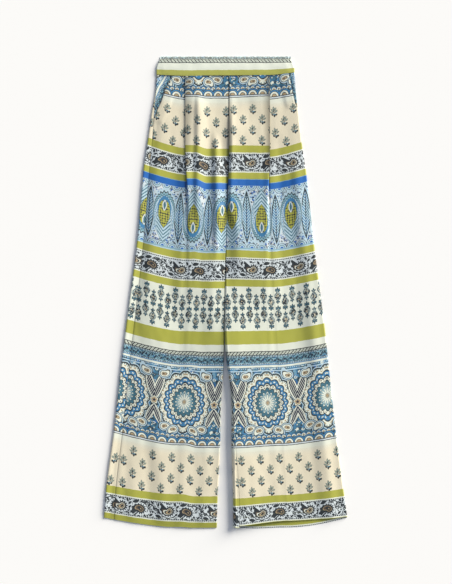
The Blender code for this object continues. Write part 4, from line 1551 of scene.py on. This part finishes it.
class PANTS_OT_pockets(bpy.types.Operator):
    """Make the side pieces that show in the slanted pocket mouths"""
    bl_idname = "pants.pockets"
    bl_label = "Pocket Pieces"

    def execute(self, context):
        cloth = context.scene.pants_cloth
        satin = material_named("pocket_satin", roughness=0.48)
        for name, shape in shapes_of(cloth).items():
            rows = shape.pocket_rows()
            along_mouth = [[(x, y, z, v, POCKET_PRINT + shape.side * u) for x, y, z, u, v in line]
                           for line in rows]
            piece = cloth_wall(f"pocket_{name}_cloth", along_mouth, shape.wall)
            dress(piece, f"pocket_{name}", satin, rows)
        return {"FINISHED"}


class PANTS_OT_waistband(bpy.types.Operator):
    """Make the plain front waistband and the gathered back waistband"""
    bl_idname = "pants.waistband"
    bl_label = "Waistband"

    def execute(self, context):
        cloth = context.scene.pants_cloth
        shapes = shapes_of(cloth)
        rows = band_back_rows(shapes, cloth.gathers, cloth.gather_lift / MM)
        back = cloth_wall("waistband_back_cloth", rows, cloth.wall / MM)
        # The gathered band's print is made brighter than the legs' cloth and mixed towards cream.
        gathered = material_named("gathered_satin", roughness=0.5, bump=0.3, tones=(1.15, 1.62), washed=0.36)
        dress(back, "waistband_back", gathered, rows)
        rows = band_front_rows(shapes)
        front = cloth_wall("waistband_front_cloth", rows, cloth.band_wall / MM)
        # Its tones are lifted above the legs' cloth: painted light, the waistband lit brighter from above.
        # It is also mixed a little towards cream.
        doubled = material_named("waistband_painted_light_satin", tones=(1.0, 1.17), washed=0.05)
        dress(front, "waistband_front", doubled, rows)
        return {"FINISHED"}


class PANTS_OT_sewing(bpy.types.Operator):
    """Make the stitches of the waistband, the hems and the pocket mouths"""
    bl_idname = "pants.sewing"
    bl_label = "Sewing"

    def execute(self, context):
        cloth = context.scene.pants_cloth
        lines = stitch_lines(shapes_of(cloth), cloth.wall / MM, cloth.band_wall / MM)
        sewn = stitches(lines, Pitch=cloth.stitch_pitch, Length=cloth.stitch_length, Thread=cloth.thread,
                        Seed=4, Material=thread_material())
        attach(sewn, "root")
        return {"FINISHED"}


class PANTS_OT_stage(bpy.types.Operator):
    """Make the pale floor, the soft studio light and the camera"""
    bl_idname = "pants.stage"
    bl_label = "Stage"

    def execute(self, context):
        settings = context.scene.pants_stage
        low, high = CAD_BOX
        middle = Vector((*[(a + b) / 2 + shift for a, b, shift in zip(low, high, CAMERA_SHIFT)], 0))

        bpy.ops.mesh.primitive_plane_add(size=12)
        floor = context.object
        floor.name = "floor"
        material, shader = plain_material("pale_floor", FLOOR_COLOUR, 0.9)
        shader.inputs["Specular IOR Level"].default_value = 0.1
        floor.data.materials.append(material)

        lamp = bpy.data.lights.new("key", "SUN")
        lamp.energy = settings.key_strength
        lamp.angle = settings.key_spread
        lamp.color = KEY_COLOUR
        key = bpy.data.objects.new("key", lamp)
        level = math.cos(settings.key_height)
        aim = Vector((level * math.cos(settings.key_turn), level * math.sin(settings.key_turn),
                      math.sin(settings.key_height)))
        key.rotation_euler = aim.to_track_quat("Z", "Y").to_euler()
        context.scene.collection.objects.link(key)

        world = bpy.data.worlds.new("studio")
        world.use_nodes = True
        sky = world.node_tree.nodes["Background"]
        sky.inputs["Color"].default_value = (*SKY_COLOUR, 1)
        sky.inputs["Strength"].default_value = settings.sky_strength
        context.scene.world = world
        context.scene.view_settings.view_transform = "Standard"
        context.scene.view_settings.look = "None"

        lens = bpy.data.cameras.new("camera")
        lens.sensor_width = 36
        lens.lens = lens.sensor_width * settings.distance / settings.frame_height
        lens.clip_end = 50
        camera = bpy.data.objects.new("camera", lens)
        camera.location = middle + Vector((0, 0, settings.distance))
        context.scene.collection.objects.link(camera)
        context.scene.camera = camera
        return {"FINISHED"}


class PANTS_PT_panel(bpy.types.Panel):
    """Lists the pieces and their settings"""
    bl_idname = "PANTS_PT_panel"
    bl_label = "Palazzo Pants"
    bl_space_type = "VIEW_3D"
    bl_region_type = "UI"
    bl_category = "Palazzo Pants"

    def draw(self, context):
        layout = self.layout
        for operator in OPERATORS:
            layout.operator(operator.bl_idname)
        for group in ("pants_cloth", "pants_dyes", "pants_stage"):
            settings = getattr(context.scene, group)
            box = layout.box()
            for name in settings.__annotations__:
                box.prop(settings, name)


OPERATORS = (PANTS_OT_legs, PANTS_OT_pockets, PANTS_OT_waistband, PANTS_OT_sewing, PANTS_OT_stage)
SETTINGS = {"pants_cloth": PantsClothSettings, "pants_dyes": PantsDyeSettings,
            "pants_stage": PantsStageSettings}


def register():
    for name, settings in SETTINGS.items():
        bpy.utils.register_class(settings)
        setattr(bpy.types.Scene, name, PointerProperty(type=settings))
    for operator in OPERATORS:
        bpy.utils.register_class(operator)
    bpy.utils.register_class(PANTS_PT_panel)


def unregister():
    bpy.utils.unregister_class(PANTS_PT_panel)
    for operator in reversed(OPERATORS):
        bpy.utils.unregister_class(operator)
    for name, settings in SETTINGS.items():
        delattr(bpy.types.Scene, name)
        bpy.utils.unregister_class(settings)


def main():
    register()
    bpy.ops.pants.stage()
    bpy.ops.pants.legs()
    bpy.ops.pants.pockets()
    bpy.ops.pants.waistband()
    bpy.ops.pants.sewing()


if __name__ == "__main__":
    main()
